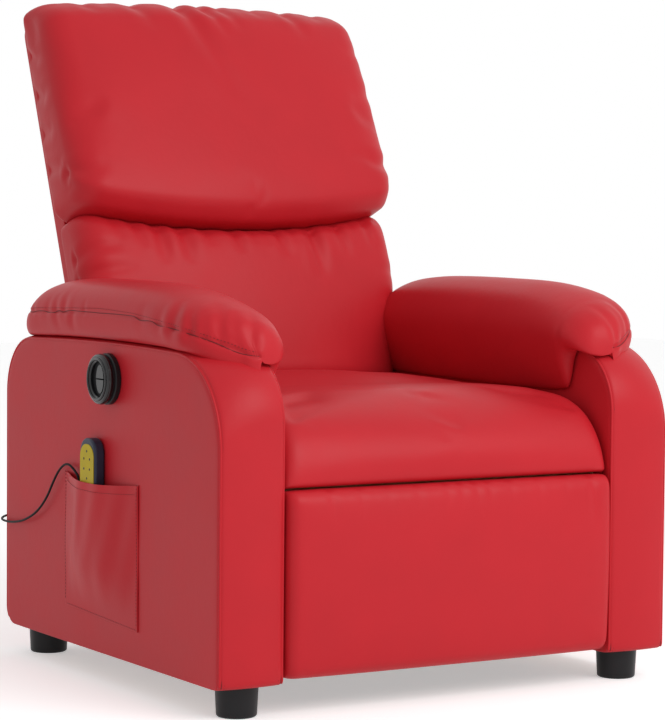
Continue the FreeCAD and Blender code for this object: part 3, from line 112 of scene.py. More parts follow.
# %% Shader maths as Python
class Flow:
    """A value that runs through a shader, and takes part in Python's arithmetic."""

    def __init__(self, tree, socket):
        self.tree = tree
        self.socket = socket

    def math(self, operation, *others):
        step = self.tree.nodes.new("ShaderNodeMath")
        step.operation = operation
        for index, value in enumerate((self,) + others):
            feed(self.tree, step.inputs[index], value)
        return Flow(self.tree, step.outputs[0])

    def __add__(self, other):
        return self.math("ADD", other)

    __radd__ = __add__

    def __mul__(self, other):
        return self.math("MULTIPLY", other)

    __rmul__ = __mul__

    def __sub__(self, other):
        return self.math("SUBTRACT", other)

    def __rsub__(self, other):
        return self * -1.0 + other

    def clamp(self, low=0.0, high=1.0):
        return self.math("MAXIMUM", low).math("MINIMUM", high)


def feed(tree, socket, value):
    """Link a flow to a socket, or write a plain value into it."""
    if isinstance(value, Flow):
        tree.links.new(value.socket, socket)
    else:
        socket.default_value = value


class Recipe:
    """The node tree of a new material, or of the world, with short ways to add to it."""

    def __init__(self, name, owner=None):
        self.owner = owner or bpy.data.materials.new(name)
        self.owner.use_nodes = True
        self.tree = self.owner.node_tree

    def node(self, kind, settings=None, sockets=None, output=0):
        """Add any node: its settings first, then the values or links of its sockets."""
        made = self.tree.nodes.new(kind)
        for key, value in (settings or {}).items():
            setattr(made, key, value)
        for key, value in (sockets or {}).items():
            feed(self.tree, made.inputs[key], value)
        return Flow(self.tree, made.outputs[output])

    def place(self):
        """Coordinates that stay with the piece, in metres."""
        return self.node("ShaderNodeTexCoord", output="Object")

    def stretched(self, scale):
        return self.node("ShaderNodeMapping", {}, {"Vector": self.place(), "Scale": scale})

    def noise(self, scale, detail=2.0, stretch=(1, 1, 1), roughness=0.5):
        return self.node("ShaderNodeTexNoise", {}, {"Vector": self.stretched(stretch), "Scale": scale,
                                                    "Detail": detail, "Roughness": roughness})

    def cells(self, scale, feature="F1"):
        return self.node("ShaderNodeTexVoronoi", {"feature": feature},
                         {"Vector": self.place(), "Scale": scale}, "Distance")

    def mix(self, share, first, second):
        return self.node("ShaderNodeMix", {"data_type": "RGBA"}, {0: share, 6: first, 7: second}, 2)

    def bump(self, height, depth, strength=1.0, under=None):
        sockets = {"Height": height, "Distance": depth, "Strength": strength}
        if under is not None:
            sockets["Normal"] = under
        return self.node("ShaderNodeBump", {}, sockets)

    def surface(self, **values):
        """Set the shader's own sockets; names have _ for spaces."""
        shader = self.tree.nodes["Principled BSDF"]
        for key, value in values.items():
            name = key.replace("_", " ").title().replace("Ior", "IOR")
            feed(self.tree, shader.inputs[name], value)
        return self.owner


# %% [markdown]
# The cover is a bright red faux leather. Up close it has a fine pebble grain pressed into
# the coating, faint mottling in the dye, and a broad soft sheen with slightly glossier
# patches where it is stretched. Grain is bump only, at about a millimetre. A picture of
# leather could be wrapped round the pieces instead, but it would need them unwrapped, and it
# would repeat. Noise in each piece's own space fits every cushion without a break.

# %% Red faux leather
RED = (0.60, 0.018, 0.028, 1)
DEEP_RED = (0.50, 0.015, 0.023, 1)


def faux_leather(name, red, deep, rough=0.45):
    """Coated cloth: a mottled dye, a pebble grain and soft small folds."""
    make = Recipe(name)
    dye = make.noise(14.0, 4.0)
    cloud = make.noise(3.0, 2.0)
    grain = make.cells(620.0, "SMOOTH_F1")
    pores = make.cells(1500.0)
    folds = make.noise(55.0, 5.0, roughness=0.62)
    share = (dye * 0.6 + cloud * 0.6 - 0.1).clamp()
    fine = make.bump(grain * 0.7 + pores * 0.3, 0.00012, 0.55)
    soft = make.bump(folds, 0.0009, 0.35, fine)
    return make.surface(base_color=make.mix(share, deep, red), roughness=dye * 0.10 + (rough - 0.05),
                        normal=soft, ior=1.30)


leather = faux_leather("red_faux_leather", RED, DEEP_RED)
print("leather nodes:", len(leather.node_tree.nodes))

# %% [markdown]
# The small parts are moulded plastic, painted and plated steel, plain timber and woven
# webbing. Each has its own fine texture: a spark-eroded grain on plastic, orange peel in
# the powder coat, drawn lines on plated pins, growth rings in the pine. One function for
# each kind of finish keeps its recipe in one place, so that a further colour is one line.

# %% Plastic, metal, timber and webbing
def shaded(colour, factor, lift=0.0):
    """A colour made darker or lighter, with its alpha left at one."""
    return tuple(min(1.0, value * factor + lift) for value in colour[:3]) + (1,)


def moulded(name, colour, rough, grain_depth=0.00005, coat=0.0, ior=1.32):
    """Plastic with the fine sparkle of its mould and slightly uneven gloss."""
    make = Recipe(name)
    grain = make.cells(1700.0)
    haze = make.noise(60.0, 3.0)
    tint = make.mix(haze, colour, shaded(colour, 1.25, 0.004))
    return make.surface(base_color=tint, roughness=haze * 0.12 + (rough - 0.06), coat_weight=coat,
                        coat_roughness=0.08, ior=ior, normal=make.bump(grain, grain_depth, 0.6))


def painted_steel(name, colour):
    """Powder coat with its orange peel, rubbed a little lighter in places."""
    make = Recipe(name)
    peel = make.noise(420.0, 2.0)
    rub = make.noise(30.0, 4.0)
    return make.surface(base_color=make.mix(rub, colour, (0.06, 0.06, 0.065, 1)), metallic=0.35,
                        roughness=rub * 0.2 + 0.32, normal=make.bump(peel, 0.0001, 0.5))


def plated_steel(name, colour, lines):
    """Bare bright metal; lines stretches its drawn marks along one axis."""
    make = Recipe(name)
    drawn = make.noise(900.0, 3.0, lines)
    stain = make.noise(25.0, 4.0)
    return make.surface(base_color=make.mix(stain, colour, shaded(colour, 0.8)), metallic=1.0,
                        roughness=drawn * 0.2 + 0.2, normal=make.bump(drawn, 0.00004, 0.5))


def pine(name):
    """Growth rings as bands of a stretched noise, with a fine fibre over them."""
    make = Recipe(name)
    rings = make.noise(9.0, 2.0, (1.0, 0.35, 3.0))
    bands = (rings * 34.0).math("SINE") * 0.5 + 0.5
    fibre = make.noise(300.0, 3.0, (1.0, 0.06, 1.0))
    wood = make.mix(bands * 0.6 + fibre * 0.3, (0.66, 0.45, 0.24, 1), (0.42, 0.25, 0.11, 1))
    return make.surface(base_color=wood, roughness=fibre * 0.15 + 0.6,
                        normal=make.bump(fibre, 0.0002, 0.6))


def webbing(name):
    """Elastic straps, ribbed across by their yarns."""
    make = Recipe(name)
    place = make.node("ShaderNodeSeparateXYZ", {}, {"Vector": make.place()}, "X")
    ribs = (place * 2600.0).math("SINE") * 0.5 + 0.5
    fuzz = make.noise(700.0, 2.0)
    yarn = make.mix(ribs * 0.5 + fuzz * 0.4, (0.035, 0.035, 0.038, 1), (0.10, 0.10, 0.11, 1))
    return make.surface(base_color=yarn, roughness=0.9, normal=make.bump(ribs, 0.0003, 0.7))


satin_black = moulded("satin_black_plastic", (0.006, 0.006, 0.007, 1), 0.42)
gloss_black = moulded("gloss_black_plastic", (0.004, 0.004, 0.005, 1), 0.14, 0.00001, 0.4)
handset_blue = moulded("handset_blue_plastic", (0.022, 0.028, 0.052, 1), 0.38)
keypad_lime = moulded("keypad_lime_membrane", (0.48, 0.36, 0.003, 1), 0.5)
cord_rubber = moulded("cord_rubber", (0.004, 0.004, 0.005, 1), 0.5, ior=1.2)
dark_steel = painted_steel("black_powder_coat", (0.018, 0.018, 0.020, 1))
bright_steel = plated_steel("zinc_plated_steel", (0.62, 0.62, 0.60, 1), (0.1, 1, 1))
drawn_aluminium = plated_steel("drawn_aluminium", (0.70, 0.71, 0.73, 1), (1, 0.1, 1))
timber = pine("bare_pine")
strap_weave = webbing("elastic_webbing")
FINISH = {"upholstery": leather, "black_plastic": satin_black, "gloss_black": gloss_black,
          "timber": timber, "dark_steel": dark_steel, "bright_steel": bright_steel,
          "aluminium_tube": drawn_aluminium, "webbing": strap_weave, "handset_blue": handset_blue,
          "keypad_lime": keypad_lime, "cord_black": cord_rubber}
for part in frame["record"]["subparts"]:
    node = frame["nodes"][part["node"]]
    node.data.materials.clear()
    node.data.materials.append(FINISH[part["material_slot"]])

# %% [markdown]
# ## The hand control's cord
# A thin limp cord leaves the hand control at its lower end, turns up inside the pocket,
# comes out over the rim, hangs in a shallow bow towards the rear and goes round the
# arm's rear corner into a gland on the rear cover. Its points are those of the CAD
# route; a NURBS curve through their frame is a smoother line than the tube's arcs.

# %% Cord
CORD_THICK = 0.0036
CORD_ROUTE = [
    (-0.3941, -0.053, 0.195), (-0.3941, -0.053, 0.176), (-0.394, -0.045, 0.158), (-0.3936, -0.027, 0.152),
    (-0.393, -0.013, 0.162), (-0.3922, -0.007, 0.184), (-0.3918, -0.007, 0.228), (-0.3917, -0.007, 0.270),
    (-0.3916, -0.005, 0.300), (-0.3918, 0.014, 0.313), (-0.392, 0.038, 0.321), (-0.3924, 0.062, 0.311),
    (-0.3928, 0.084, 0.290), (-0.393, 0.108, 0.261), (-0.3936, 0.143, 0.235), (-0.394, 0.190, 0.217),
    (-0.3936, 0.238, 0.209), (-0.391, 0.280, 0.208), (-0.383, 0.301, 0.210), (-0.364, 0.308, 0.214),
    (-0.330, 0.309, 0.214), (-0.294, 0.308, 0.208), (-0.264, 0.312, 0.205), (-0.252, 0.306, 0.205),
    (-0.252, 0.280, 0.205)]


def cord_curve(name, points, thickness):
    """A smooth NURBS cord with those points as its control points."""
    curve = bpy.data.curves.new(name, "CURVE")
    curve.dimensions = "3D"
    curve.bevel_depth = thickness / 2
    curve.bevel_resolution = 4
    curve.resolution_u = 16
    spline = curve.splines.new("NURBS")
    spline.points.add(len(points) - 1)
    for spot, place in zip(spline.points, points):
        spot.co = (*place, 1)
    spline.order_u = 3
    spline.use_endpoint_u = True
    made = bpy.data.objects.new(name, curve)
    bpy.context.scene.collection.objects.link(made)
    return made


cord = cord_curve("handset_cord", CORD_ROUTE, CORD_THICK)
cord.data.materials.append(cord_rubber)
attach(cord, "base")
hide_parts("control_cord")

# %% [markdown]
# Every stuffed piece begins as a box of quads with its own spacing along each axis. The
# box is then bent into the real form: its section across the chair gets rounded corners,
# and it draws in towards both ends. Quads in rows keep seams straight and let a cloth
# simulation fold the cover naturally, which a box of long triangles can't.

# %% A box of quads, and how it is rounded
def even(low, high, step):
    """Evenly spaced values from low to high, about a step apart."""
    count = max(1, round((high - low) / step))
    return [low + (high - low) * index / count for index in range(count + 1)]


def shell(name, xs, ys, zs, form):
    """Mesh of a box's six sides, each point moved to form(x, y, z)."""
    mesh = bmesh.new()
    found = {}

    def point(i, j, k):
        if (i, j, k) not in found:
            found[i, j, k] = mesh.verts.new(form(xs[i], ys[j], zs[k]))
        return found[i, j, k]

    last = (len(xs) - 1, len(ys) - 1, len(zs) - 1)
    for axis in range(3):
        one, two = (axis + 1) % 3, (axis + 2) % 3
        for end in (0, last[axis]):
            for a in range(last[one]):
                for b in range(last[two]):
                    loop = []
                    for da, db in ((0, 0), (1, 0), (1, 1), (0, 1)):
                        place = [0, 0, 0]
                        place[axis], place[one], place[two] = end, a + da, b + db
                        loop.append(point(*place))
                    mesh.faces.new(loop if end else loop[::-1])
    order = {vertex: key for key, vertex in found.items()}
    places = [(xs[i], ys[j], zs[k]) for i, j, k in (order[vertex] for vertex in mesh.verts)]
    return cover_from(name, mesh, places)


def cover_from(name, mesh, places):
    """Turn a bmesh into a smooth piece that remembers each point's place on the pattern."""
    bmesh.ops.recalc_face_normals(mesh, faces=mesh.faces)
    data = bpy.data.meshes.new(name)
    mesh.to_mesh(data)
    mesh.free()
    remembered = data.attributes.new("pattern", "FLOAT_VECTOR", "POINT")
    remembered.data.foreach_set("vector", np.array(places, dtype=np.float32).ravel())
    data.polygons.foreach_set("use_smooth", [True] * len(data.polygons))
    piece = bpy.data.objects.new(name, data)
    bpy.context.scene.collection.objects.link(piece)
    return piece


def loft(name, rings, places):
    """Quads between closed rings of points; both ends are filled with shrinking rings."""
    mesh = bmesh.new()
    rings = end_rings(rings[0])[::-1] + rings + end_rings(rings[-1])
    places = [places[0]] * 3 + places + [places[-1]] * 3
    rows = [[mesh.verts.new(point) for point in ring] for ring in rings]
    count = len(rows[0])
    for near, far in zip(rows, rows[1:]):
        for index in range(count):
            after = (index + 1) % count
            mesh.faces.new((near[index], near[after], far[after], far[index]))
    mesh.faces.new(rows[0][::-1])
    mesh.faces.new(rows[-1])
    return cover_from(name, mesh, [place for ring in places for place in ring])


def end_rings(ring):
    """Three smaller copies of a ring, towards its middle."""
    middle = sum((Vector(point) for point in ring), Vector()) / len(ring)
    return [[middle + (Vector(point) - middle) * share for point in ring] for share in (0.8, 0.5, 0.2)]


def rounded(y, z, low, high, radii):
    """Round the corners of a rectangle; radii maps (y side, z side) to a radius."""
    for (side_y, side_z), radius in radii.items():
        edge_y = high[0] if side_y > 0 else low[0]
        edge_z = high[1] if side_z > 0 else low[1]
        a = 1 - abs(edge_y - y) / radius
        b = 1 - abs(edge_z - z) / radius
        if a > 0 and b > 0:
            new_a = a * math.sqrt(1 - b * b / 2)
            new_b = b * math.sqrt(1 - a * a / 2)
            y = edge_y - side_y * radius * (1 - new_a)
            z = edge_z - side_z * radius * (1 - new_b)
    return y, z


def drawn_in(x, half, radius):
    """Where a point goes near a rounded end, and how far the section shrinks there."""
    past = (abs(x) - (half - radius)) / radius
    if past <= 0:
        return x, 0.0
    turn = min(past, 1.0) * math.pi / 2
    return math.copysign(half - radius + radius * math.sin(turn), x), radius * (1 - math.cos(turn))


def smooth_curve(stops, x):
    """A smooth curve through (place, value) stops, with no flat steps between them."""
    x = min(max(x, stops[0][0]), stops[-1][0])
    slopes = []
    for index in range(len(stops)):
        before = stops[max(index - 1, 0)]
        after = stops[min(index + 1, len(stops) - 1)]
        slopes.append((after[1] - before[1]) / (after[0] - before[0]))
    for (x0, y0), (x1, y1), m0, m1 in zip(stops, stops[1:], slopes, slopes[1:]):
        if x <= x1:
            run = x1 - x0
            t = (x - x0) / run
            return (y0 * (1 + 2 * t) * (1 - t) ** 2 + y1 * t * t * (3 - 2 * t)
                    + run * (m0 * t * (1 - t) ** 2 - m1 * t * t * (1 - t)))


# %% [markdown]
# Foam pushes the cover outward and the seams hold it back. Blender's cloth does the same:
# the seam lines and hidden faces are pinned, a little pressure fills the piece, and a
# cover cut slightly too large gives the soft folds that start at the seams. A cap on the
# travel keeps each cushion inside its own space.

# %% Stuffing a cover with the cloth simulation
STUFF_FRAMES = 18


def weights(piece, name, rule):
    """A vertex group filled by rule(x, y, z) of each point's place on the pattern."""
    group = piece.vertex_groups.new(name=name)
    for index, place in enumerate(piece.data.attributes["pattern"].data):
        weight = rule(*place.vector)
        if weight > 0:
            group.add([index], min(weight, 1.0), "REPLACE")
    return group.name


def stuff(piece, held, gathered, loose=0.05, cap=0.012):
    """Fill a cover: simulate, limit how far each point went to cap, and keep the result."""
    before = np.array([vertex.co for vertex in piece.data.vertices])
    cloth = piece.modifiers.new("cover", "CLOTH")
    rules = cloth.settings
    rules.vertex_group_mass = weights(piece, "held", held)
    rules.vertex_group_shrink = weights(piece, "gathered", gathered)
    rules.shrink_min = 0.0
    rules.shrink_max = -loose
    rules.quality = 6
    rules.mass = 0.3
    rules.tension_stiffness = 40
    rules.compression_stiffness = 40
    rules.shear_stiffness = 20
    rules.bending_stiffness = 6.0
    rules.tension_damping = 15
    rules.air_damping = 3
    rules.use_pressure = True
    rules.uniform_pressure_force = 1.5
    rules.effector_weights.gravity = 0
    cloth.collision_settings.use_collision = False
    cloth.point_cache.frame_start = 1
    cloth.point_cache.frame_end = STUFF_FRAMES
    for number in range(1, STUFF_FRAMES + 1):
        bpy.context.scene.frame_set(number)
    result = piece.evaluated_get(bpy.context.evaluated_depsgraph_get()).to_mesh()
    travel = np.array([vertex.co for vertex in result.vertices]) - before
    piece.modifiers.remove(cloth)
    bpy.context.scene.frame_set(1)
    length = np.linalg.norm(travel, axis=1)
    travel *= np.minimum(1, cap / np.maximum(length, 1e-9))[:, None]
    piece.data.vertices.foreach_set("co", (before + travel).astype(np.float32).ravel())
    piece.data.update()
    print(piece.name, "stuffed, furthest point moved", round(length.max() * 1000, 1), "mm")


def finer(piece):
    """Finer, smoother surface, applied so that later steps can use its points."""
    smooth = piece.modifiers.new("finer", "SUBSURF")
    smooth.levels = 1
    bpy.context.view_layer.objects.active = piece
    bpy.ops.object.modifier_apply(modifier=smooth.name)


# %% [markdown]
# Folds that belong in one place aren't left to the simulation. They could be sculpted by
# hand, but a path with a depth and a width can be read, moved and used again. Points near
# the path move in along their normals, and those a little further off move out, as cloth
# does beside a fold.

# %% Pressing seams and folds
FAR_AWAY = 1e9
RIDGE_SHARE = 0.25
RIDGE_PLACE = 2.2
FADE_POWER = 0.8
START_SLOPE = 12
START_LEVEL = 0.55


def points_of(piece, pattern=True):
    """Each point's place on the pattern, or in the chair."""
    place = np.empty(len(piece.data.vertices) * 3, dtype=np.float32)
    if pattern:
        piece.data.attributes["pattern"].data.foreach_get("vector", place)
    else:
        piece.data.vertices.foreach_get("co", place)
    return place.reshape(-1, 3)


def pressed(piece, press):
    """Move each point along its normal."""
    normals = np.array([vertex.normal for vertex in piece.data.vertices])
    points = points_of(piece, False) + normals * press[:, None]
    piece.data.vertices.foreach_set("co", points.astype(np.float32).ravel())
    piece.data.update()


def to_segment(place, a, b):
    """For each place, how far along a segment its nearest point is, and how far away."""
    run = b - a
    share = np.clip((place - a) @ run / max(np.dot(run, run), 1e-12), 0, 1)
    return share, np.linalg.norm(place - (a + share[:, None] * run), axis=1)


def groove(piece, path, depth, width):
    """Press a seam of even depth along a path in the chair."""
    place = points_of(piece, False)
    nearest = np.full(len(place), FAR_AWAY)
    for a, b in zip(path, path[1:]):
        apart = to_segment(place, np.array(a), np.array(b))[1]
        nearest = np.minimum(nearest, apart)
    pressed(piece, -depth * np.exp(-(nearest / width) ** 2))


def crease(piece, folds, pattern=True):
    """Press folds into a cover, with a low ridge on both sides of each. A fold is a path, a
    depth and a width; it starts quickly and fades towards its end."""
    place = points_of(piece, pattern)
    count = len(place)
    press = np.zeros(count)
    for path, depth, width in folds:
        path = [np.array(point, dtype=float) for point in path]
        runs = [np.linalg.norm(b - a) for a, b in zip(path, path[1:])]
        whole, gone = sum(runs), 0.0
        nearest = np.full(count, FAR_AWAY)
        along = np.zeros(count)
        for a, b, run in zip(path, path[1:], runs):
            share, apart = to_segment(place, a, b)
            closer = apart < nearest
            nearest[closer] = apart[closer]
            along[closer] = (gone + share[closer] * run) / whole
            gone += run
        across = nearest / width
        fade = np.clip(1 - along, 0, 1) ** FADE_POWER
        fade *= np.clip(along * START_SLOPE + START_LEVEL, 0, 1)
        ridge = RIDGE_SHARE * np.exp(-(across - RIDGE_PLACE) ** 2)
        press += depth * fade * (ridge - np.exp(-across ** 2))
    pressed(piece, press)


# %% [markdown]
# Every finished piece needs the same few things: its material, the rigid body that it rides
# on, and the CAD part that it stands for taken out of sight. One function does them all, so
# that no piece is left without one.

# %% Dressing a piece
def dress(piece, material, body, nodes=()):
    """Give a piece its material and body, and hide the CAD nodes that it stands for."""
    piece.data.materials.clear()
    piece.data.materials.append(material)
    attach(piece, body)
    if nodes:
        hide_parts(*nodes)
    print(piece.name, "dressed:", len(piece.data.vertices), "points")


# %% [markdown]
# The back leans, so its cushions are described in its own directions: x across, depth
# forward from the rear face, and height along the back. One helper turns those into
# chair coordinates.

# %% The back's own directions
RECLINE_PIVOT = Vector((0, 0.193, 0.340))
BACK_LEAN = math.radians(21.4)


def on_back(x, forward, up):
    """A place on the leaning back."""
    return RECLINE_PIVOT + Vector((x, -forward * math.cos(BACK_LEAN) + up * math.sin(BACK_LEAN),
                                   forward * math.sin(BACK_LEAN) + up * math.cos(BACK_LEAN)))


CUSHION_REAR = 0.0363
CUSHION_END = 0.034
MESH_STEP = 0.0085
FINE_STEP = 0.006
HIDDEN_BAND = 0.004
GATHER_REACH = 0.04


def stations(half, radius, step):
    """Places across a piece, closer together where its ends are rounded."""
    near = half - radius
    bend = [near + radius * share for share in (0.25, 0.5, 0.75, 1.0)]
    return [-value for value in reversed(bend)] + even(-near, near, step) + bend


# %% [markdown]
# ## Head cushion
# The upper back cushion is one big stuffed pad. It is thickest just above the crease,
# where it rolls over the lumbar cushion, and thinner at the top. A box of quads follows
# that profile, and the crease sags in the middle as the filling settles.

# %% Head cushion
HEAD_HALF = 0.2945
HEAD_LOW = 0.353
HEAD_HIGH = 0.723
HEAD_FRONT = 0.15
HEAD_DEPTH = [(0.353, 0.143), (0.375, 0.149), (0.410, 0.150), (0.450, 0.148), (0.511, 0.143),
              (0.589, 0.136), (0.672, 0.121), (0.723, 0.104)]
HEAD_PILLOW = 0.021
HEAD_CORNERS = {(1, 1): 0.042, (1, -1): 0.028, (-1, 1): 0.010}
TOP_DRAW = 0.25
CREASE_DRAW = 0.6
CREASE_SAG = 0.038


def arch(x, half):
    """One in the middle of a piece, falling to nothing at its ends."""
    return max(0.0, 1 - (x / half) ** 2)


def head_form(x, forward, up):
    """The head cushion's box, rounded, filled in the middle and sagging into the crease."""
    x, inset = drawn_in(x, HEAD_HALF, CUSHION_END)
    depth = smooth_curve(HEAD_DEPTH, up)
    middle = (HEAD_LOW + HEAD_HIGH) / 2
    reach = (HEAD_HIGH - HEAD_LOW) / 2
    share = (forward - CUSHION_REAR) / (HEAD_FRONT - CUSHION_REAR)
    front = depth + HEAD_PILLOW * arch(x, HEAD_HALF) - inset
    y = CUSHION_REAR + (front - CUSHION_REAR) * share
    drawn = inset * (TOP_DRAW if up > middle else CREASE_DRAW)
    z = middle + (up - middle) * (reach - drawn) / reach
    low = (CUSHION_REAR, middle - reach + drawn)
    high = (front, middle + reach - drawn)
    y, z = rounded(y, z, low, high, HEAD_CORNERS)
    settle = (HEAD_HIGH - z) / (HEAD_HIGH - HEAD_LOW)
    z -= CREASE_SAG * arch(x, HEAD_HALF) * settle ** 2
    return on_back(x, y, z)


head = shell("head_cushion_cover", stations(HEAD_HALF, CUSHION_END, MESH_STEP),
             even(CUSHION_REAR, HEAD_FRONT, MESH_STEP), even(HEAD_LOW, HEAD_HIGH, MESH_STEP), head_form)


def near_edge(value, low, high, width):
    """One at either limit of a range, falling to nothing a width inside it."""
    return max(0.0, 1 - min(value - low, high - value) / width)


def head_gathered(x, y, z):
    """Cloth is gathered along the top and bottom, and half as much down the sides."""
    return max(near_edge(z, HEAD_LOW, HEAD_HIGH, GATHER_REACH),
               0.5 * near_edge(x, -HEAD_HALF, HEAD_HALF, GATHER_REACH))


stuff(head, lambda x, y, z: float(y < CUSHION_REAR + HIDDEN_BAND), head_gathered,
      loose=0.022, cap=0.007)
finer(head)

# %% [markdown]
# The head cushion's folds start at its border and run over the front face. Each row of the
# list is one fold: its path, with F for a point on the front face, its depth and its width.

# %% Folds of the head cushion
F = HEAD_FRONT
crease(head, [
    ([(-0.132, 0.10, HEAD_HIGH), (-0.128, F, 0.712), (-0.106, F, 0.650)], 0.0060, 0.013),
    ([(-0.052, 0.09, HEAD_HIGH), (-0.046, F, 0.712), (-0.026, F, 0.640), (0.014, F, 0.530)],
     0.0085, 0.015),
    ([(-0.010, 0.10, HEAD_HIGH), (-0.002, F, 0.712), (0.022, F, 0.640)], 0.0065, 0.011),
    ([(0.028, 0.10, HEAD_HIGH), (0.032, F, 0.712), (0.052, F, 0.655)], 0.0050, 0.010),
    ([(0.158, 0.11, HEAD_HIGH), (0.160, F, 0.712), (0.180, F, 0.650)], 0.0055, 0.011),
    ([(-0.215, 0.10, HEAD_HIGH), (-0.212, F, 0.712), (-0.196, F, 0.690)], 0.0045, 0.010),
    ([(0.096, 0.11, HEAD_HIGH), (0.098, F, 0.712), (0.104, F, 0.690)], 0.0040, 0.010),
    ([(0.225, 0.11, HEAD_HIGH), (0.222, F, 0.712), (0.212, F, 0.694)], 0.0040, 0.010),
    ([(HEAD_HALF, 0.11, 0.415), (0.276, F, 0.418), (0.240, F, 0.436), (0.195, F, 0.446)], 0.0070, 0.010),
    ([(HEAD_HALF, 0.11, 0.560), (0.276, F, 0.556), (0.235, F, 0.545)], 0.0035, 0.011),
    ([(HEAD_HALF, 0.11, 0.640), (0.276, F, 0.638), (0.250, F, 0.630)], 0.0030, 0.009),
    ([(-HEAD_HALF, 0.13, 0.395), (-0.280, F, 0.400), (-0.245, F, 0.420)], 0.0050, 0.010),
    ([(-HEAD_HALF, 0.04, 0.430), (-HEAD_HALF, 0.10, 0.415), (-HEAD_HALF, 0.13, 0.420)], 0.0045, 0.010),
    ([(-HEAD_HALF, 0.04, 0.500), (-HEAD_HALF, 0.09, 0.490), (-HEAD_HALF, 0.12, 0.500)], 0.0040, 0.011),
    ([(-HEAD_HALF, 0.04, 0.575), (-HEAD_HALF, 0.09, 0.560), (-0.276, F, 0.565)], 0.0045, 0.011),
    ([(-HEAD_HALF, 0.04, 0.650), (-HEAD_HALF, 0.09, 0.630), (-0.276, F, 0.625)], 0.0040, 0.010),
])
dress(head, leather, "back", ["head_cushion"])

# %% [markdown]
# ## Lumbar cushion
# The lower back cushion is gathered into the crease under the head cushion, so short
# folds fan down from its top. It runs down behind the seat, where nothing shows. The form
# is the head cushion's, but fuller in the middle and tucked in beside the arms, so it gets
# a function of its own.

# %% Lumbar cushion
LUMBAR_HALF = 0.2895
LUMBAR_LOW = 0.034
LUMBAR_HIGH = 0.351
LUMBAR_PILLOW = 0.026
LUMBAR_EARS = 0.008
LUMBAR_FRONT = 0.125
LUMBAR_TUCK = 0.055
LUMBAR_TUCK_TOP = 0.24
LUMBAR_GATHER = 0.05
LUMBAR_PINNED = 0.10
LUMBAR_CORNERS = {(1, 1): 0.030, (1, -1): 0.045}
LUMBAR_DEPTH = [(0.034, 0.082), (0.090, 0.092), (0.200, 0.108), (0.290, 0.113), (0.351, 0.106)]


def lumbar_form(x, forward, up):
    """The lumbar cushion's box: full in the middle, tucked in beside the arms at the foot."""
    x, inset = drawn_in(x, LUMBAR_HALF, CUSHION_END)
    depth = smooth_curve(LUMBAR_DEPTH, up)
    share = (forward - CUSHION_REAR) / (LUMBAR_FRONT - CUSHION_REAR)
    beside = LUMBAR_TUCK * (abs(x) / LUMBAR_HALF) ** 5 * max(0.0, 1 - up / LUMBAR_TUCK_TOP)
    front = depth + LUMBAR_PILLOW * arch(x, LUMBAR_HALF) - inset - beside
    y = CUSHION_REAR + (front - CUSHION_REAR) * share
    high = LUMBAR_HIGH - inset * CREASE_DRAW
    z = LUMBAR_LOW + (up - LUMBAR_LOW) * (high - LUMBAR_LOW) / (LUMBAR_HIGH - LUMBAR_LOW)
    y, z = rounded(y, z, (CUSHION_REAR, LUMBAR_LOW), (front, high), LUMBAR_CORNERS)
    settle = (z - LUMBAR_LOW) / (LUMBAR_HIGH - LUMBAR_LOW)
    ears = LUMBAR_EARS * (abs(x) / LUMBAR_HALF) ** 4
    z -= CREASE_SAG * arch(x, LUMBAR_HALF) * settle ** 3 - ears * settle ** 3
    return on_back(x, y, z)


def lumbar_gathered(x, y, z):
    """Cloth is gathered along the crease and down the sides."""
    return max(near_edge(z, -1.0, LUMBAR_HIGH, LUMBAR_GATHER),
               near_edge(x, -LUMBAR_HALF, LUMBAR_HALF, GATHER_REACH))


lumbar = shell("lumbar_cushion_cover", stations(LUMBAR_HALF, CUSHION_END, MESH_STEP),
               even(CUSHION_REAR, LUMBAR_FRONT, MESH_STEP), even(LUMBAR_LOW, LUMBAR_HIGH, MESH_STEP),
               lumbar_form)
stuff(lumbar, lambda x, y, z: float(y < CUSHION_REAR + HIDDEN_BAND or z < LUMBAR_PINNED),
      lumbar_gathered)
finer(lumbar)

# %% [markdown]
# Most of the lumbar cushion's folds hang from the crease and differ only in place, drift,
# length, depth and width, so one function makes their paths. Four more come in from the
# sides.

# %% Folds of the lumbar cushion
def hanging_fold(x, drift, length, depth, width):
    """A fold that starts in the crease and runs down the front of the lumbar cushion."""
    start = (x, LUMBAR_FRONT - 0.005, LUMBAR_HIGH - 0.004)
    bend = (x + drift * 0.4, LUMBAR_FRONT, LUMBAR_HIGH - 0.3 * length)
    return [start, bend, (x + drift, LUMBAR_FRONT, LUMBAR_HIGH - length)], depth, width


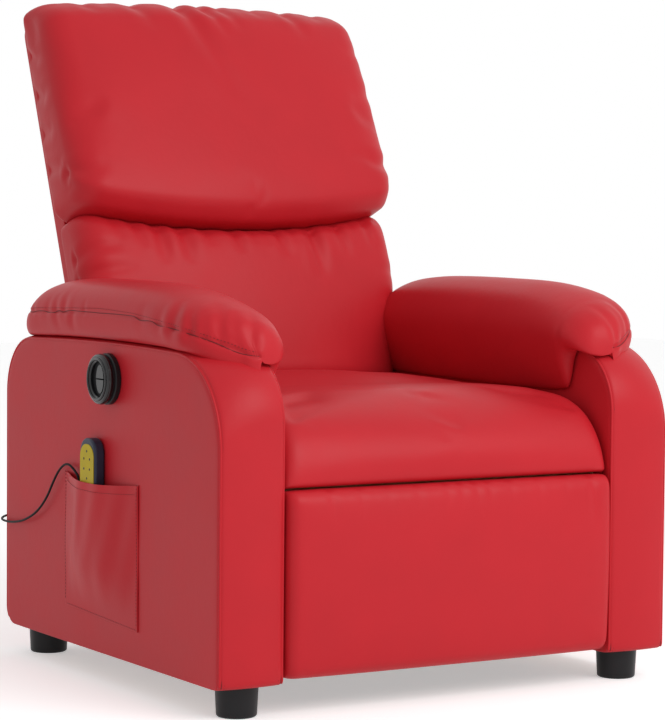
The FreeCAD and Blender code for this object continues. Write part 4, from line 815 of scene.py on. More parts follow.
crease(lumbar, [hanging_fold(*fold) for fold in (
    (-0.235, 0.010, 0.050, 0.0024, 0.009), (-0.200, 0.012, 0.065, 0.0045, 0.010),
    (-0.163, 0.006, 0.095, 0.0070, 0.011), (-0.123, 0.010, 0.095, 0.0065, 0.011),
    (-0.080, 0.010, 0.055, 0.0035, 0.009), (-0.028, 0.010, 0.070, 0.0055, 0.009),
    (0.002, 0.010, 0.050, 0.0026, 0.008), (0.026, 0.010, 0.055, 0.0030, 0.008),
    (0.050, 0.016, 0.080, 0.0070, 0.009), (0.078, 0.010, 0.050, 0.0026, 0.008),
    (0.100, 0.008, 0.055, 0.0026, 0.008), (0.122, 0.006, 0.120, 0.0105, 0.011),
    (0.150, 0.008, 0.055, 0.0026, 0.008), (0.176, 0.008, 0.090, 0.0075, 0.010),
    (0.205, 0.008, 0.055, 0.0026, 0.008), (0.235, 0.008, 0.075, 0.0060, 0.009),
    (0.258, 0.006, 0.050, 0.0035, 0.007))] + [
    ([(-LUMBAR_HALF, 0.110, 0.290), (-0.268, 0.125, 0.284), (-0.225, 0.125, 0.292)], 0.0045, 0.009),
    ([(-LUMBAR_HALF, 0.110, 0.248), (-0.262, 0.125, 0.244), (-0.205, 0.125, 0.252)], 0.0045, 0.010),
    ([(LUMBAR_HALF, 0.085, 0.250), (0.268, 0.125, 0.244), (0.235, 0.125, 0.240)], 0.0040, 0.009),
    ([(LUMBAR_HALF, 0.085, 0.200), (0.268, 0.125, 0.196), (0.240, 0.125, 0.192)], 0.0035, 0.009),
])
dress(lumbar, leather, "back", ["lumbar_cushion"])

# %% [markdown]
# ## Seat cushion
# The seat is one cushion whose front rolls over the edge down to the footrest. The roll
# stands a little higher than the seat behind it, and the rear tucks in under the back.
# A bevel gives all edges one radius. Here each corner of the section has its own, because
# the front's is ten times the others'.

# %% Seat cushion
SEAT_HALF = 0.278
ARM_FRONT = -0.431
SEAT_LOW = 0.3190
SEAT_HIGH = 0.440
SEAT_REAR = 0.120
SEAT_FRONT = ARM_FRONT + 0.001
SEAT_END = 0.026
SEAT_FALL = 0.010
SEAT_DRAW = (0.35, 1.1)
SEAT_PINNED = 0.10
SEAT_CORNERS = {(-1, 1): 0.106, (-1, -1): 0.008, (1, 1): 0.03}
SEAT_HOLLOWS = [(-0.13, 0.07, 0.007), (0.06, 0.10, -0.006)]
LONG_STEP = 0.0095


def seat_form(x, y, z):
    """The seat's box, with its rolled front and a shallow hollow behind the roll."""
    x, inset = drawn_in(x, SEAT_HALF, SEAT_END)
    high = SEAT_HIGH - inset * SEAT_DRAW[1] - SEAT_FALL * (1 - arch(x, SEAT_HALF))
    front = SEAT_FRONT + inset * SEAT_DRAW[0]
    z = SEAT_LOW + (z - SEAT_LOW) * (high - SEAT_LOW) / (SEAT_HIGH - SEAT_LOW)
    y = SEAT_REAR + (y - SEAT_REAR) * (front - SEAT_REAR) / (SEAT_FRONT - SEAT_REAR)
    y, z = rounded(y, z, (front, SEAT_LOW), (SEAT_REAR, high), SEAT_CORNERS)
    lift = (z - SEAT_LOW) / (SEAT_HIGH - SEAT_LOW)
    hollow = sum(deep * math.exp(-((y - place) / wide) ** 2) for place, wide, deep in SEAT_HOLLOWS)
    z -= hollow * lift ** 2 * arch(x, SEAT_HALF)
    return Vector((x, y, z))


seat = shell("seat_cushion_cover", stations(SEAT_HALF, SEAT_END, LONG_STEP),
             even(SEAT_FRONT, SEAT_REAR, LONG_STEP), even(SEAT_LOW, SEAT_HIGH, MESH_STEP), seat_form)
stuff(seat, lambda x, y, z: float(z < SEAT_LOW + HIDDEN_BAND or y > SEAT_PINNED),
      lambda x, y, z: near_edge(x, -SEAT_HALF, SEAT_HALF, GATHER_REACH) * 0.6, cap=0.006)
finer(seat)
dress(seat, leather, "base", ["seat_cushion"])

# %% [markdown]
# ## Footrest cushion
# A shallow padded panel on the footrest board. Its cover is pulled over the top edge
# and gathered there, so a row of short soft folds hangs from the seam. The face swells
# both ways in the box itself, since pressure alone leaves such a thin pad almost flat.

# %% Footrest cushion
REST_LOW = 0.052
REST_HIGH = 0.3165
REST_REAR = ARM_FRONT + 0.0197
REST_FACE = ARM_FRONT - 0.010
REST_END = 0.016
REST_DRAW = 0.25
REST_SWELL = (0.006, 0.005)
REST_SWELL_UP = 0.02
REST_GATHER = 0.03
REST_CORNERS = {(-1, 1): 0.016, (-1, -1): 0.018}


def rest_form(x, y, z):
    """The footrest's box, with a face that swells both ways."""
    x, inset = drawn_in(x, SEAT_HALF, REST_END)
    middle = (REST_LOW + REST_HIGH) / 2
    reach = (REST_HIGH - REST_LOW) / 2
    swell = REST_SWELL[0] * arch(x, SEAT_HALF)
    swell += REST_SWELL[1] * arch(z - middle - REST_SWELL_UP, reach * 1.1)
    face = REST_FACE - swell + inset
    drawn = REST_DRAW * inset
    y = REST_REAR + (y - REST_REAR) * (face - REST_REAR) / (REST_FACE - REST_REAR)
    z = middle + (z - middle) * (reach - drawn) / reach
    low, high = (face, middle - reach + drawn), (REST_REAR, middle + reach - drawn)
    y, z = rounded(y, z, low, high, REST_CORNERS)
    return Vector((x, y, z))


footrest = shell("footrest_cushion_cover", stations(SEAT_HALF, REST_END, LONG_STEP),
                 even(REST_FACE, REST_REAR, FINE_STEP), even(REST_LOW, REST_HIGH, LONG_STEP), rest_form)
stuff(footrest, lambda x, y, z: float(y > REST_REAR - HIDDEN_BAND),
      lambda x, y, z: near_edge(z, REST_LOW, REST_HIGH, REST_GATHER), cap=0.004)
finer(footrest)


def short_fold(x, length, depth, width=0.006):
    """A gather below the footrest's top seam."""
    return ([(x - 0.002, REST_FACE + 0.012, REST_HIGH), (x, REST_FACE, REST_HIGH - 0.012),
             (x + 0.004, REST_FACE, REST_HIGH - length)], depth, width)


crease(footrest, [short_fold(*fold) for fold in (
    (-0.212, 0.055, 0.0018), (-0.165, 0.045, 0.0012), (-0.120, 0.030, 0.0010), (-0.070, 0.035, 0.0012),
    (-0.020, 0.030, 0.0016), (0.004, 0.028, 0.0018), (0.030, 0.030, 0.0022), (0.052, 0.034, 0.0016),
    (0.090, 0.030, 0.0012), (0.140, 0.040, 0.0012), (0.190, 0.030, 0.0012), (0.238, 0.075, 0.0022))])
dress(footrest, leather, "footrest", ["footrest_cushion"])

# %% [markdown]
# ## Arms
# Each arm is a padded board: flat panels inside and outside, joined by a band that runs
# up the front, over the top and down the rear. The band is slightly crowned. The panels
# meet it in a welt, a thin raised roll of the cover, with a line of stitches beside it.
# One bent box keeps panels and band together. The welt, the sunk thread and the stitches
# are thin tubes and beads laid along its edge, which a texture couldn't raise.

# %% Tubes and stitches
TUBE_SIDES = 8


def tube(name, points, radius):
    """A closed tube along a path."""
    turns = [2 * math.pi * side / TUBE_SIDES for side in range(TUBE_SIDES)]
    mesh = bmesh.new()
    rows = []
    across = None
    for index, point in enumerate(points):
        ahead = (points[min(index + 1, len(points) - 1)] - points[max(index - 1, 0)]).normalized()
        if across is None:
            across = ahead.orthogonal().normalized()
        across = (across - ahead * across.dot(ahead)).normalized()
        other = ahead.cross(across)
        rows.append([mesh.verts.new(point + radius * (across * math.cos(turn) + other * math.sin(turn)))
                     for turn in turns])
    for near, far in zip(rows, rows[1:]):
        for side in range(TUBE_SIDES):
            after = (side + 1) % TUBE_SIDES
            mesh.faces.new((near[side], near[after], far[after], far[side]))
    mesh.faces.new(rows[0][::-1])
    mesh.faces.new(rows[-1])
    return cover_from(name, mesh, [tuple(vertex.co) for row in rows for vertex in row])


def walk(points, step):
    """Points at equal steps along a path."""
    points = [Vector(point) for point in points]
    placed = [points[0]]
    left = step
    for a, b in zip(points, points[1:]):
        run = (b - a).length
        done = 0.0
        while run - done >= left:
            done += left
            placed.append(a + (b - a) * (done / run))
            left = step
        left -= run - done
    return placed


def joined(name, pieces):
    """Several pieces as one mesh."""
    bpy.ops.object.select_all(action="DESELECT")
    for piece in pieces:
        piece.select_set(True)
    bpy.context.view_layer.objects.active = pieces[0]
    bpy.ops.object.join()
    pieces[0].name = name
    return pieces[0]


STITCH_GAP = 0.0052
STITCH_LENGTH = 0.0034
THREAD = 0.00042


def stitches(name, path):
    """A row of short thread stitches along a path."""
    mesh = bmesh.new()
    spots = walk(path, STITCH_GAP)
    for spot, following in zip(spots, spots[1:]):
        ahead = (following - spot).normalized()
        turn = ahead.to_track_quat("X", "Z")
        size = Matrix.Diagonal((STITCH_LENGTH / 2, THREAD, THREAD, 1))
        bmesh.ops.create_icosphere(mesh, subdivisions=1, radius=1.0,
                                   matrix=Matrix.Translation(spot) @ turn.to_matrix().to_4x4() @ size)
    return cover_from(name, mesh, [tuple(vertex.co) for vertex in mesh.verts])


thread_recipe = Recipe("dark_red_thread")
twist = thread_recipe.noise(2400.0, 2.0)
thread_red = thread_recipe.mix(twist, (0.10, 0.002, 0.004, 1), (0.17, 0.004, 0.007, 1))
thread = thread_recipe.surface(base_color=thread_red, roughness=0.7)

# %% Arm covers
ARM_REAR = 0.279
ARM_BOTTOM = 0.045
ARM_TOP = 0.505
ARM_CROWN = 0.005
ARM_FLAT = (-0.336, 0.191)
ARM_MIDDLE = 0.333
ARM_HALF = 0.052
ARM_CORNERS = {(-1, 1): 0.095, (1, 1): 0.088, (1, -1): 0.025, (-1, -1): 0.006}
ARM_ROLL = 0.035
BAND_CROWN = 0.005
ARM_ROUND = 0.008
ARM_ARCH_FROM = 0.40
ARM_STEP = 0.0105
BAND_STEP = 0.011


def arched(y, z):
    """Lift the arm's top a little in the middle of its length."""
    middle = (ARM_FLAT[0] + ARM_FLAT[1]) / 2
    reach = (ARM_FLAT[1] - ARM_FLAT[0]) / 2
    share = max(0.0, (z - ARM_ARCH_FROM) / (ARM_TOP - ARM_ARCH_FROM))
    return y, z + ARM_CROWN * arch(y - middle, reach) * share


def arm_corners(across):
    """The arm's corner radii. The front one grows towards the outer side."""
    corners = dict(ARM_CORNERS)
    corners[-1, 1] += ARM_ROLL * ((across + ARM_HALF) / (2 * ARM_HALF)) ** 2
    return corners


def arm_form(side):
    """Bend a box into an arm: rounded outline, crowned band and flat panels."""
    def form(x, y, z):
        across, inset = drawn_in(x, ARM_HALF, ARM_ROUND)
        grow = BAND_CROWN * arch(x, ARM_HALF) - inset
        middle_y = (ARM_FRONT + ARM_REAR) / 2
        reach_y = (ARM_REAR - ARM_FRONT) / 2
        y = middle_y + (y - middle_y) * (reach_y + grow) / reach_y
        high = ARM_TOP + grow
        z = ARM_BOTTOM + (z - ARM_BOTTOM) * (high - ARM_BOTTOM) / (ARM_TOP - ARM_BOTTOM)
        low, high = (middle_y - reach_y - grow, ARM_BOTTOM), (middle_y + reach_y + grow, high)
        y, z = rounded(y, z, low, high, arm_corners(across))
        y, z = arched(y, z)
        return Vector((side * (ARM_MIDDLE + across), y, z))
    return form


def arm_edge(side, across, lift):
    """Path along the edge of an arm's band: up the front, over the top, down the rear."""
    low, high = (ARM_FRONT - lift, ARM_BOTTOM + 0.002), (ARM_REAR + lift, ARM_TOP + lift)
    corners = arm_corners(across)
    border = [(low[0], z) for z in even(low[1], high[1], FINE_STEP)]
    border += [(y, high[1]) for y in even(low[0], high[0], FINE_STEP)[1:]]
    border += [(high[0], z) for z in reversed(even(low[1], high[1], FINE_STEP)[:-1])]
    return [Vector((side * (ARM_MIDDLE + across), *arched(*rounded(y, z, low, high, corners))))
            for y, z in border]


WELT = 0.0021
SEAM_LINE = 0.0006
WELT_PLACE = (0.0025, -0.0022)
SEAM_PLACE = (0.0052, -0.0003)
ROW_PLACE = (0.0095, 0.0006)
for side, word in ((1, "right"), (-1, "left")):
    arm = shell(f"arm_cover_panels_{word}", stations(ARM_HALF, ARM_ROUND, BAND_STEP),
                even(ARM_FRONT, ARM_REAR, ARM_STEP), even(ARM_BOTTOM, ARM_TOP, ARM_STEP), arm_form(side))
    finer(arm)
    dress(arm, leather, "base", [f"arm_cover_{word}"])
    for where, across in (("inner", -ARM_HALF), ("outer", ARM_HALF)):
        inward = 1 if across < 0 else -1
        edges = [arm_edge(side, across + inward * place, lift)
                 for place, lift in (WELT_PLACE, SEAM_PLACE, ROW_PLACE)]
        dress(tube(f"arm_welt_{where}_{word}", edges[0], WELT), leather, "base")
        dress(tube(f"arm_seam_{where}_{word}", edges[1], SEAM_LINE), thread, "base")
        dress(stitches(f"arm_stitches_{where}_{word}", edges[2]), thread, "base")

# %% [markdown]
# ## Arm pads
# A pad is a long pillow over the arm. A lower strip runs round its outer side and front,
# and the top panel is sewn to it in a sunk seam with a row of stitches above it. Inside,
# the cover drapes down towards the seat, further forward on the left pad than on the right
# one. A bent box can't follow a pad that turns round the arm's corner and hangs down inside,
# so closed sections across the arm are joined one after another. Curves along y give each
# section's crown, the lift of its underside over the arm, how full it is and its inner hem.

# %% Measures of an arm pad
PAD_FRONT = -0.401
PAD_REAR = 0.213
PAD_CROWN = [(-0.401, 0.511), (-0.398, 0.524), (-0.391, 0.538), (-0.378, 0.552), (-0.350, 0.569),
             (-0.300, 0.586), (-0.220, 0.597), (-0.100, 0.600), (0.020, 0.600), (0.100, 0.597),
             (0.165, 0.588), (0.195, 0.571), (0.207, 0.550), (0.213, 0.527)]
PAD_LIFT = [(-0.401, 0.016), (-0.398, 0.011), (-0.391, 0.006), (-0.380, 0.003), (-0.366, 0.001),
            (-0.350, 0.0), (0.213, 0.0)]
PAD_FULL = [(-0.401, 0.44), (-0.3985, 0.60), (-0.392, 0.77), (-0.378, 0.90), (-0.360, 0.97),
            (-0.335, 1.0), (0.165, 1.0), (0.193, 0.93), (0.207, 0.78), (0.213, 0.5)]
PAD_HEM = [(-0.401, 0.525), (-0.370, 0.503), (-0.355, 0.494), (-0.347, 0.476), (-0.340, 0.452),
           (-0.332, 0.439), (-0.250, 0.434), (0.05, 0.436), (0.213, 0.440)]
PAD_CORNER = 0.104
PAD_STRAIGHT = -0.297
PAD_REACH = (0.247, 0.3928)
PAD_SECTION = [(0.3840, 0.000), (0.3905, 0.140), (0.3928, 0.330), (0.3905, 0.510), (0.3820, 0.720),
               (0.3640, 0.900), (0.3350, 1.000), (0.3020, 0.965), (0.2700, 0.770), (0.2520, 0.460),
               (0.2470, 0.180)]
PAD_DRAPE = [(0.2520, 0.80), (0.2610, 0.42), (0.2690, 0.14), (0.2745, 0.0)]
PAD_ANCHOR = 0.338
PAD_LINING = 0.2797
PAD_TURN = 0.055
PAD_GAP = 0.0015
HEM_DROP = 0.004
NOSE_BULGE = 0.003
NOSE_PLACE = (-0.345, 0.055)
HEM_SHIFT = {-1: 0.022, 1: -0.006}
RING_POINTS = 64

# %% Sections of an arm pad
def arm_top(y, across=-ARM_HALF):
    """Height of the arm's top under the pad."""
    front, rear = arm_corners(across)[-1, 1], ARM_CORNERS[1, 1]
    if y < ARM_FRONT + front:
        return ARM_TOP - front + math.sqrt(max(front ** 2 - (ARM_FRONT + front - y) ** 2, 0))
    if y > ARM_FLAT[1]:
        return ARM_TOP - rear + math.sqrt(max(rear ** 2 - (y - ARM_FLAT[1]) ** 2, 0))
    return arched(y, ARM_TOP)[1]


CURVE_STEPS = 12


def between(a, b, c, d, t):
    """The smooth curve's value at t on the way from b to c, with a before and d after them."""
    return 0.5 * (2 * b + (c - a) * t + (2 * a - 5 * b + 4 * c - d) * t * t
                  + (3 * b - 3 * c + d - a) * t ** 3)


def through(points, step):
    """A smooth path through points in a plane, at about equal steps."""
    path = []
    ends = [points[0]] + list(points) + [points[-1]]
    for four in zip(ends, ends[1:], ends[2:], ends[3:]):
        for index in range(CURVE_STEPS):
            path.append(tuple(between(*values, index / CURVE_STEPS) for values in zip(*four)))
    path.append(points[-1])
    flat = walk([Vector((a, b, 0)) for a, b in path], step)
    return [(point.x, point.y) for point in flat]


def resampled(line, count):
    """A path's points spread evenly, smoothed through its own corners."""
    smooth = through([(point.x, point.y) for point in line], 0.0015)
    step = len(smooth) / count
    return [Vector((*smooth[min(int(index * step), len(smooth) - 1)], 0)) for index in range(count)]


def pad_ring(side, y):
    """One section of an arm pad, as a closed ring with the same number of points each."""
    floor = arm_top(y) + PAD_GAP + smooth_curve(PAD_LIFT, y)
    crown = smooth_curve(PAD_CROWN, y)
    full = smooth_curve(PAD_FULL, y)
    hem = min(smooth_curve(PAD_HEM, y + HEM_SHIFT[side]), floor - HEM_DROP)
    nose = NOSE_BULGE * math.exp(-((y - NOSE_PLACE[0]) / NOSE_PLACE[1]) ** 2)
    along = min(max(PAD_STRAIGHT - y, 0), PAD_CORNER)
    turned = min(PAD_CORNER - math.sqrt(PAD_CORNER ** 2 - along ** 2), PAD_TURN)
    inner = PAD_ANCHOR + (PAD_REACH[0] - PAD_ANCHOR) * full
    outer = PAD_ANCHOR + (PAD_REACH[1] - PAD_ANCHOR) * full - turned
    scale = (outer - inner) / (PAD_REACH[1] - PAD_REACH[0])
    droop = arm_top(y) - arm_top(y, ARM_HALF)
    over = []
    for x, h in PAD_SECTION:
        bulge = nose if x < PAD_ANCHOR else 0
        outside = max(x - PAD_ANCHOR, 0) / (PAD_REACH[1] - PAD_ANCHOR)
        over.append((inner + (x - PAD_REACH[0]) * scale - bulge * (1 - h) ** 0.5,
                     floor + (crown - floor) * h - droop * (1 - h) ** 3 * outside))
    if y < 0:
        down = [(inner + (x - PAD_REACH[0]) * scale - nose * h, hem + (floor - hem) * h)
                for x, h in PAD_DRAPE]
        lining = inner + (PAD_LINING - PAD_REACH[0]) * scale
    else:
        down = [(PAD_ANCHOR + (x - PAD_ANCHOR) * (full + (1 - full) * (1 - h)), hem + (floor - hem) * h)
                for x, h in PAD_DRAPE]
        lining = PAD_LINING
    path = over + down + [(lining, hem + 0.001), (lining, (hem + floor) / 2), (lining, floor),
                          ((lining + outer) / 2, floor)]
    line = [Vector((x, z, 0)) for x, z in path]
    length = sum((b - a).length for a, b in zip(line, line[1:]))
    return [Vector((side * spot.x, y, spot.y)) for spot in resampled(line, RING_POINTS)], length


# %% [markdown]
# The pad's seam is a path beside the cover. Every point of it is moved to the nearest place
# on the stuffed cover, so the groove, the thread and the stitches lie in the surface,
# whatever the simulation made of it. The gathers start at the seam in the same way.

# %% Seam and gathers of an arm pad
PAD_SEAM = [
    (0.345, 0.213, 0.545), (0.370, 0.210, 0.545), (0.386, 0.196, 0.546), (0.392, 0.170, 0.546),
    (0.394, 0.067, 0.550), (0.394, -0.070, 0.5535), (0.394, -0.180, 0.5508), (0.394, -0.270, 0.543),
    (0.388, -0.315, 0.537), (0.379, -0.345, 0.531), (0.364, -0.367, 0.524), (0.345, -0.385, 0.516),
    (0.322, -0.396, 0.506), (0.304, -0.399, 0.503)]
SEAM_ROW = Vector((0, 0, 0.0055))
ROW_LIFT = 0.0004
SEAM_DEPTH = 0.0030
SEAM_WIDTH = 0.0024
PATH_STEP = 0.003
PAD_GATHERS = [
    ((0.393, 0.110, 0.550), (-0.002, 0.012, 0.030), 0.0016, 0.009),
    ((0.393, 0.082, 0.550), (-0.003, 0.014, 0.036), 0.0022, 0.009),
    ((0.393, 0.052, 0.551), (-0.004, 0.016, 0.040), 0.0026, 0.009),
    ((0.393, 0.075, 0.549), (0, -0.010, -0.032), 0.0016, 0.009),
    ((0.393, 0.022, 0.549), (0, -0.006, -0.036), 0.0018, 0.009),
    ((0.393, -0.018, 0.553), (-0.002, 0.010, 0.022), 0.0012, 0.005),
    ((0.393, -0.205, 0.549), (-0.004, 0.004, 0.030), 0.0011, 0.011),
    ((0.392, -0.262, 0.543), (-0.006, 0.002, 0.040), 0.0014, 0.011),
    ((0.388, -0.300, 0.534), (-0.020, 0.010, 0.056), 0.0058, 0.010),
    ((0.386, -0.318, 0.538), (-0.012, 0.022, 0.036), 0.0028, 0.008),
    ((0.378, -0.338, 0.534), (-0.020, 0.036, 0.042), 0.0042, 0.009),
    ((0.366, -0.356, 0.528), (-0.014, 0.028, 0.030), 0.0026, 0.007),
    ((0.352, -0.374, 0.524), (-0.022, 0.050, 0.036), 0.0038, 0.009),
    ((0.334, -0.386, 0.518), (-0.012, 0.040, 0.030), 0.0026, 0.007),
    ((0.312, -0.390, 0.516), (-0.012, 0.050, 0.034), 0.0030, 0.008),
    ((0.390, 0.165, 0.546), (-0.006, 0.010, 0.024), 0.0014, 0.006)]
SOFT_ROUNDS = 12


def softened(path):
    """A path with its small jumps averaged out."""
    for _ in range(SOFT_ROUNDS):
        middle = [(a + b * 2 + c) / 4 for a, b, c in zip(path, path[1:], path[2:])]
        path = [path[0]] + middle + [path[-1]]
    return path


def on_surface(piece, path, side, shift=Vector(), lift=0.0):
    """Points of a path moved to the nearest place on a piece."""
    found = []
    for point in walk(path, PATH_STEP):
        target = Vector((side * (point.x + shift.x), point.y + shift.y, point.z + shift.z))
        near, normal = piece.closest_point_on_mesh(target)[1:3]
        found.append(near + normal * lift)
    return found


def gather(piece, side, place, toward, depth, width):
    """A short fold that starts at a seam and runs out over the cover."""
    start = Vector(place)
    path = on_surface(piece, [start, start + Vector(toward) * 0.5, start + Vector(toward)], side)
    return path, depth, width


# %% The two arm pads
PAD_STATIONS = ([-0.401, -0.4000, -0.3975, -0.394] + even(-0.389, -0.358, 0.0075)
                + even(-0.352, -0.326, 0.0045) + even(-0.319, 0.196, MESH_STEP)
                + [0.202, 0.207, 0.2105, 0.213])
LINING_START = 0.33
LINING_END = 0.012


def pad_held(around, y, z):
    """The lining against the arm stays in its place."""
    return float(around > LINING_START or around < LINING_END)


def pad_gathered(around, y, z):
    """Cloth is gathered towards the pad's two ends."""
    return near_edge(y, PAD_FRONT, PAD_REAR, GATHER_REACH)


for side, word in ((1, "right"), (-1, "left")):
    sections = [pad_ring(side, y) for y in PAD_STATIONS]
    pattern = [[(length * index / RING_POINTS, y, 0.0) for index in range(RING_POINTS)]
               for y, (ring, length) in zip(PAD_STATIONS, sections)]
    pad = loft(f"arm_pad_cover_{word}", [ring for ring, length in sections], pattern)
    stuff(pad, pad_held, pad_gathered, loose=0.02, cap=0.004)
    finer(pad)
    groove(pad, on_surface(pad, PAD_SEAM, side), SEAM_DEPTH, SEAM_WIDTH)
    crease(pad, [gather(pad, side, *fold) for fold in PAD_GATHERS], pattern=False)
    dress(pad, leather, "base", [f"arm_pad_{word}"])
    sunk = softened(on_surface(pad, PAD_SEAM, side))
    dress(tube(f"arm_pad_seam_{word}", sunk, SEAM_LINE), thread, "base")
    row = softened(on_surface(pad, PAD_SEAM, side, SEAM_ROW, ROW_LIFT))
    dress(stitches(f"arm_pad_stitches_{word}", row), thread, "base")

# %% [markdown]
# ## Back and rear panels
# Behind, the chair is plain: a flat upholstered panel with rounded edges on the reclining
# back, and a panel between the arms that hides the mechanism. Nothing presses on them, so
# each is a bent box with a slight swell, and no cloth simulation is spent on it.

# %% Back cover
BACK_COVER_HALF = 0.2785
BACK_COVER_LOW = 0.032
BACK_COVER_HIGH = 0.725
BACK_COVER_DEEP = 0.034
BACK_COVER_END = 0.006
BACK_COVER_SWELL = 0.004
BACK_COVER_CORNERS = {(1, 1): 0.030, (-1, 1): 0.030}
BACK_COVER_EDGES = {(-1, 1): 0.010, (-1, -1): 0.006}
WIDE_STEP = 0.012


def back_cover_form(x, forward, up):
    """Flat panel with rounded edges; the rear face swells a little."""
    x, inset = drawn_in(x, BACK_COVER_HALF, BACK_COVER_END)
    middle = (BACK_COVER_LOW + BACK_COVER_HIGH) / 2
    reach = (BACK_COVER_HIGH - BACK_COVER_LOW) / 2
    z = middle + (up - middle) * (reach - inset) / reach
    swell = BACK_COVER_SWELL * (1 - (x / BACK_COVER_HALF) ** 4) * (1 - ((up - middle) / reach) ** 4)
    y = forward - swell * (1 - forward / BACK_COVER_DEEP)
    low, high = (-swell, middle - reach + inset), (BACK_COVER_DEEP, middle + reach - inset)
    y, z = rounded(y, z, low, high, BACK_COVER_EDGES)
    low, high = (-BACK_COVER_HALF, BACK_COVER_LOW), (BACK_COVER_HALF, BACK_COVER_HIGH)
    x, z = rounded(x, z, low, high, BACK_COVER_CORNERS)
    return on_back(x, y, z)


back_cover = shell("back_cover_panel", stations(BACK_COVER_HALF, BACK_COVER_END, WIDE_STEP),
                   even(0, BACK_COVER_DEEP, MESH_STEP), even(BACK_COVER_LOW, BACK_COVER_HIGH, WIDE_STEP),
                   back_cover_form)
finer(back_cover)
dress(back_cover, leather, "back", ["back_cover"])

# %% Rear cover
REAR_COVER_FACE = 0.278
REAR_COVER_DEEP = 0.2748
REAR_COVER_GAP = 0.0003
REAR_COVER_HALF = ARM_MIDDLE - ARM_HALF - REAR_COVER_GAP
REAR_COVER_LOW = 0.045
REAR_COVER_HIGH = 0.380
REAR_COVER_SWELL = 0.003


def rear_cover_form(x, y, z):
    """A thin flat panel whose outer face swells a little between its edges."""
    if y < REAR_COVER_FACE:
        return Vector((x, y, z))
    across = x / (REAR_COVER_HALF + REAR_COVER_GAP)
    upward = (2 * z - REAR_COVER_LOW - REAR_COVER_HIGH) / (REAR_COVER_HIGH - REAR_COVER_LOW)
    return Vector((x, y + REAR_COVER_SWELL * (1 - across ** 4) * (1 - upward ** 4), z))


rear_cover = shell("rear_cover_panel", even(-REAR_COVER_HALF, REAR_COVER_HALF, WIDE_STEP),
                   [REAR_COVER_DEEP, REAR_COVER_FACE], even(REAR_COVER_LOW, REAR_COVER_HIGH, WIDE_STEP),
                   rear_cover_form)
finer(rear_cover)
dress(rear_cover, leather, "base", ["rear_cover"])

# %% [markdown]
# ## Side pocket
# A flat pocket is sewn to the left arm on three sides. Its hem is turned over and
# stitched, the cloth stands away from the arm where the hand control fills it, and it
# sags a little between the seams. A simulated cloth would need the hand control as an
# obstacle. A few curves give the same bulge and keep clear of it for certain.

# %% Side pocket
POCKET_FRONT = -0.188
POCKET_REAR = 0.055
POCKET_LOW = 0.098
POCKET_HIGH = 0.307
POCKET_WALL = -0.3853
POCKET_CLOTH = 0.0016
POCKET_BULGE = [(-0.188, 0.0), (-0.150, 0.0065), (-0.118, 0.0135), (-0.087, 0.0186), (-0.053, 0.0196),
                (-0.019, 0.0186), (0.010, 0.0110), (0.035, 0.0035), (0.055, 0.0)]
POCKET_SKEW = 0.005
POCKET_SAG = 0.007
POCKET_RIPPLE = 0.0006
RIPPLE_WAVES = (120, 40)
POCKET_FREE = 0.42
POCKET_STEP = 0.0055
RIM = 0.0006


def pocket_form(layer, y, z):
    """layer runs from 0 on the inner side of the cloth to 1 on its outer side."""
    share_y = (y - POCKET_FRONT) / (POCKET_REAR - POCKET_FRONT)
    share_z = (z - POCKET_LOW) / (POCKET_HIGH - POCKET_LOW)
    rise = min(1.0, share_z / POCKET_FREE)
    rise = rise * rise * (3 - 2 * rise)
    out = smooth_curve(POCKET_BULGE, y) * rise
    sag = POCKET_SAG * math.sin(math.pi * share_y) * share_z ** 3
    ripple = POCKET_RIPPLE * math.sin(y * RIPPLE_WAVES[0] + z * RIPPLE_WAVES[1]) * rise
    skew = POCKET_SKEW * (2 * share_y - 1) * (1 - share_z)
    return Vector((POCKET_WALL - out - ripple - POCKET_CLOTH * layer, y, z - sag + skew))


def with_rim(low, high, step):
    """Even places with one more just inside each end, so that subdivision keeps the edge."""
    inner = even(low, high, step)
    return [low, low + RIM] + inner[1:-1] + [high - RIM, high]


pocket = shell("side_pocket_cloth", [0.0, 1.0], with_rim(POCKET_FRONT, POCKET_REAR, POCKET_STEP),
               with_rim(POCKET_LOW, POCKET_HIGH, POCKET_STEP), pocket_form)
finer(pocket)
dress(pocket, leather, "base", ["side_pocket"])

# %% Stitches of the side pocket
LINE_STEPS = 40
HEM = 0.013
MARGIN = 0.003
EDGE_MARGIN = 0.0025


def pocket_row(y0, z0, y1, z1):
    """Points of a straight row of stitches, just above the pocket's outer side."""
    spots = [(y0 + (y1 - y0) * step / LINE_STEPS, z0 + (z1 - z0) * step / LINE_STEPS)
             for step in range(LINE_STEPS + 1)]
    return [pocket_form(1.0, y, z) - Vector((ROW_LIFT, 0, 0)) for y, z in spots]


front, rear = POCKET_FRONT + MARGIN, POCKET_REAR - MARGIN
foot = POCKET_LOW + MARGIN
pocket_rows = [pocket_row(front, POCKET_HIGH - HEM, rear, POCKET_HIGH - HEM),
               pocket_row(POCKET_FRONT + EDGE_MARGIN, POCKET_HIGH, POCKET_FRONT + EDGE_MARGIN, foot),
               pocket_row(POCKET_REAR - EDGE_MARGIN, POCKET_HIGH, POCKET_REAR - EDGE_MARGIN, foot),
               pocket_row(front, foot, rear, foot)]
pocket_stitches = joined("side_pocket_stitches", [stitches(f"pocket_row_{number}", row)
                                                  for number, row in enumerate(pocket_rows)])
dress(pocket_stitches, thread, "base")

# %% [markdown]
# The keypad is a printed membrane. Its keys show as small dark marks in two rows, with
# no lettering. Discs as thin as the ink are used in place of a picture, because they stay
# sharp from any distance.

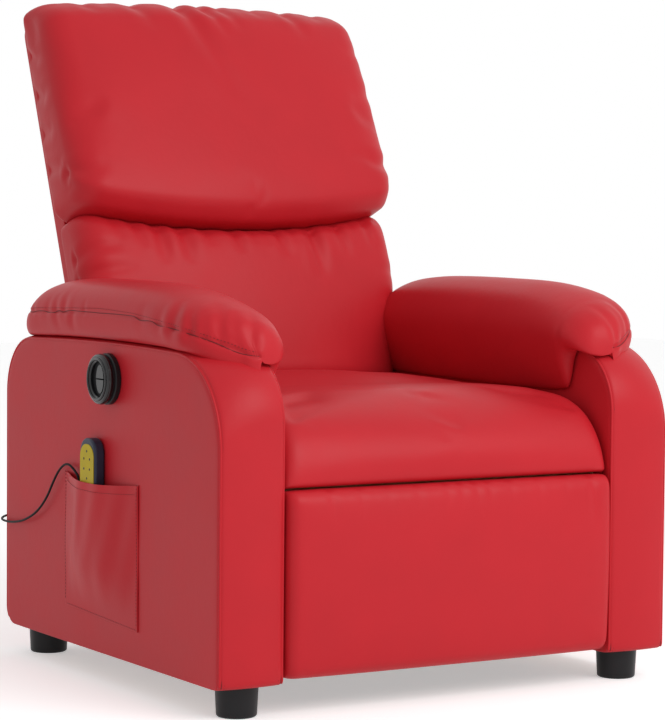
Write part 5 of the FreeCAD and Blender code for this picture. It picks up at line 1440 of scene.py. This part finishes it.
# %% Keypad marks
KEY_ROWS = [(0.0, 0.3465), (-0.0095, 0.335), (0.0095, 0.335), (-0.0095, 0.320), (0.0095, 0.320),
            (0.0, 0.306), (-0.0095, 0.292), (0.0095, 0.292), (0.0, 0.278)]
KEY_RADIUS = 0.0019
KEY_PRINT = 0.00015
low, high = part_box("handset_keypad")
mesh = bmesh.new()
for across, up in KEY_ROWS:
    spot = Matrix.Translation((low[0] - KEY_PRINT / 2, (low[1] + high[1]) / 2 + across, up))
    bmesh.ops.create_cone(mesh, cap_ends=True, segments=20, radius1=KEY_RADIUS, radius2=KEY_RADIUS,
                          depth=KEY_PRINT, matrix=spot @ Matrix.Rotation(math.pi / 2, 4, "Y"))
marks = cover_from("keypad_marks", mesh, [tuple(vertex.co) for vertex in mesh.verts])
marks.data.materials.append(satin_black)
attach(marks, "handset")
print("keypad marks:", len(KEY_ROWS))

# %% [markdown]
# ## The studio
# One wide soft lamp stands to the front right, and the world's even light fills the rest.
# The floor and the world are white to the camera and in reflections, and the floor still
# takes the shadow.

# %% Floor, backdrop and light
SURROUND = 0.54
FLOOR_LIFT = 0.42


def seen(make):
    """One where a ray comes from the camera, a reflection or through glass."""
    path = make.node("ShaderNodeLightPath")
    rays = [Flow(make.tree, path.socket.node.outputs[name])
            for name in ("Is Camera Ray", "Is Glossy Ray", "Is Transmission Ray")]
    return (rays[0] + rays[1] + rays[2]).clamp()


paper = Recipe("white_paper_floor")
paper_tooth = paper.noise(400.0, 2.0)
floor_glow = paper.mix(seen(paper), (0, 0, 0, 1), (1, 1, 1, 1))
floor_material = paper.surface(base_color=(0.93, 0.93, 0.93, 1), roughness=0.85,
                               emission_color=floor_glow, emission_strength=FLOOR_LIFT,
                               normal=paper.bump(paper_tooth, 0.0002, 0.3))
bpy.ops.mesh.primitive_plane_add(size=14, location=(0, 2, 0))
floor = bpy.context.object
floor.name = "studio_floor"
floor.data.materials.append(floor_material)
floor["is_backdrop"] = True

world = bpy.data.worlds.new("studio")
bpy.context.scene.world = world
sky = Recipe("studio", world)
background = sky.tree.nodes["Background"]
background.inputs["Color"].default_value = (1, 1, 1, 1)
feed(sky.tree, background.inputs["Strength"], seen(sky) * (1 - SURROUND) + SURROUND)


def lamp(name, place, aim, size, power):
    """A soft rectangular lamp."""
    data = bpy.data.lights.new(name, "AREA")
    data.shape = "RECTANGLE"
    data.size, data.size_y = size
    data.energy = power
    made = bpy.data.objects.new(name, data)
    made.location = place
    made.rotation_mode = "QUATERNION"
    made.rotation_quaternion = (Vector(aim) - Vector(place)).to_track_quat("-Z", "Y")
    bpy.context.scene.collection.objects.link(made)


LAMP_PLACE = (0.7, -2.9, 2.3)
LAMP_AIM = (0, 0, 0.6)
LAMP_SIZE = (2.0, 2.0)
LAMP_POWER = 56
lamp("front_right", LAMP_PLACE, LAMP_AIM, LAMP_SIZE, LAMP_POWER)
bpy.context.scene.view_settings.view_transform = "Standard"

# %% Sizes of the CAD frame and of the dressed chair
visual_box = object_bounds()
for title, box in (("CAD size", cad_box), ("dressed size", visual_box)):
    print(title, [round(high - low, 3) for low, high in zip(*box)])
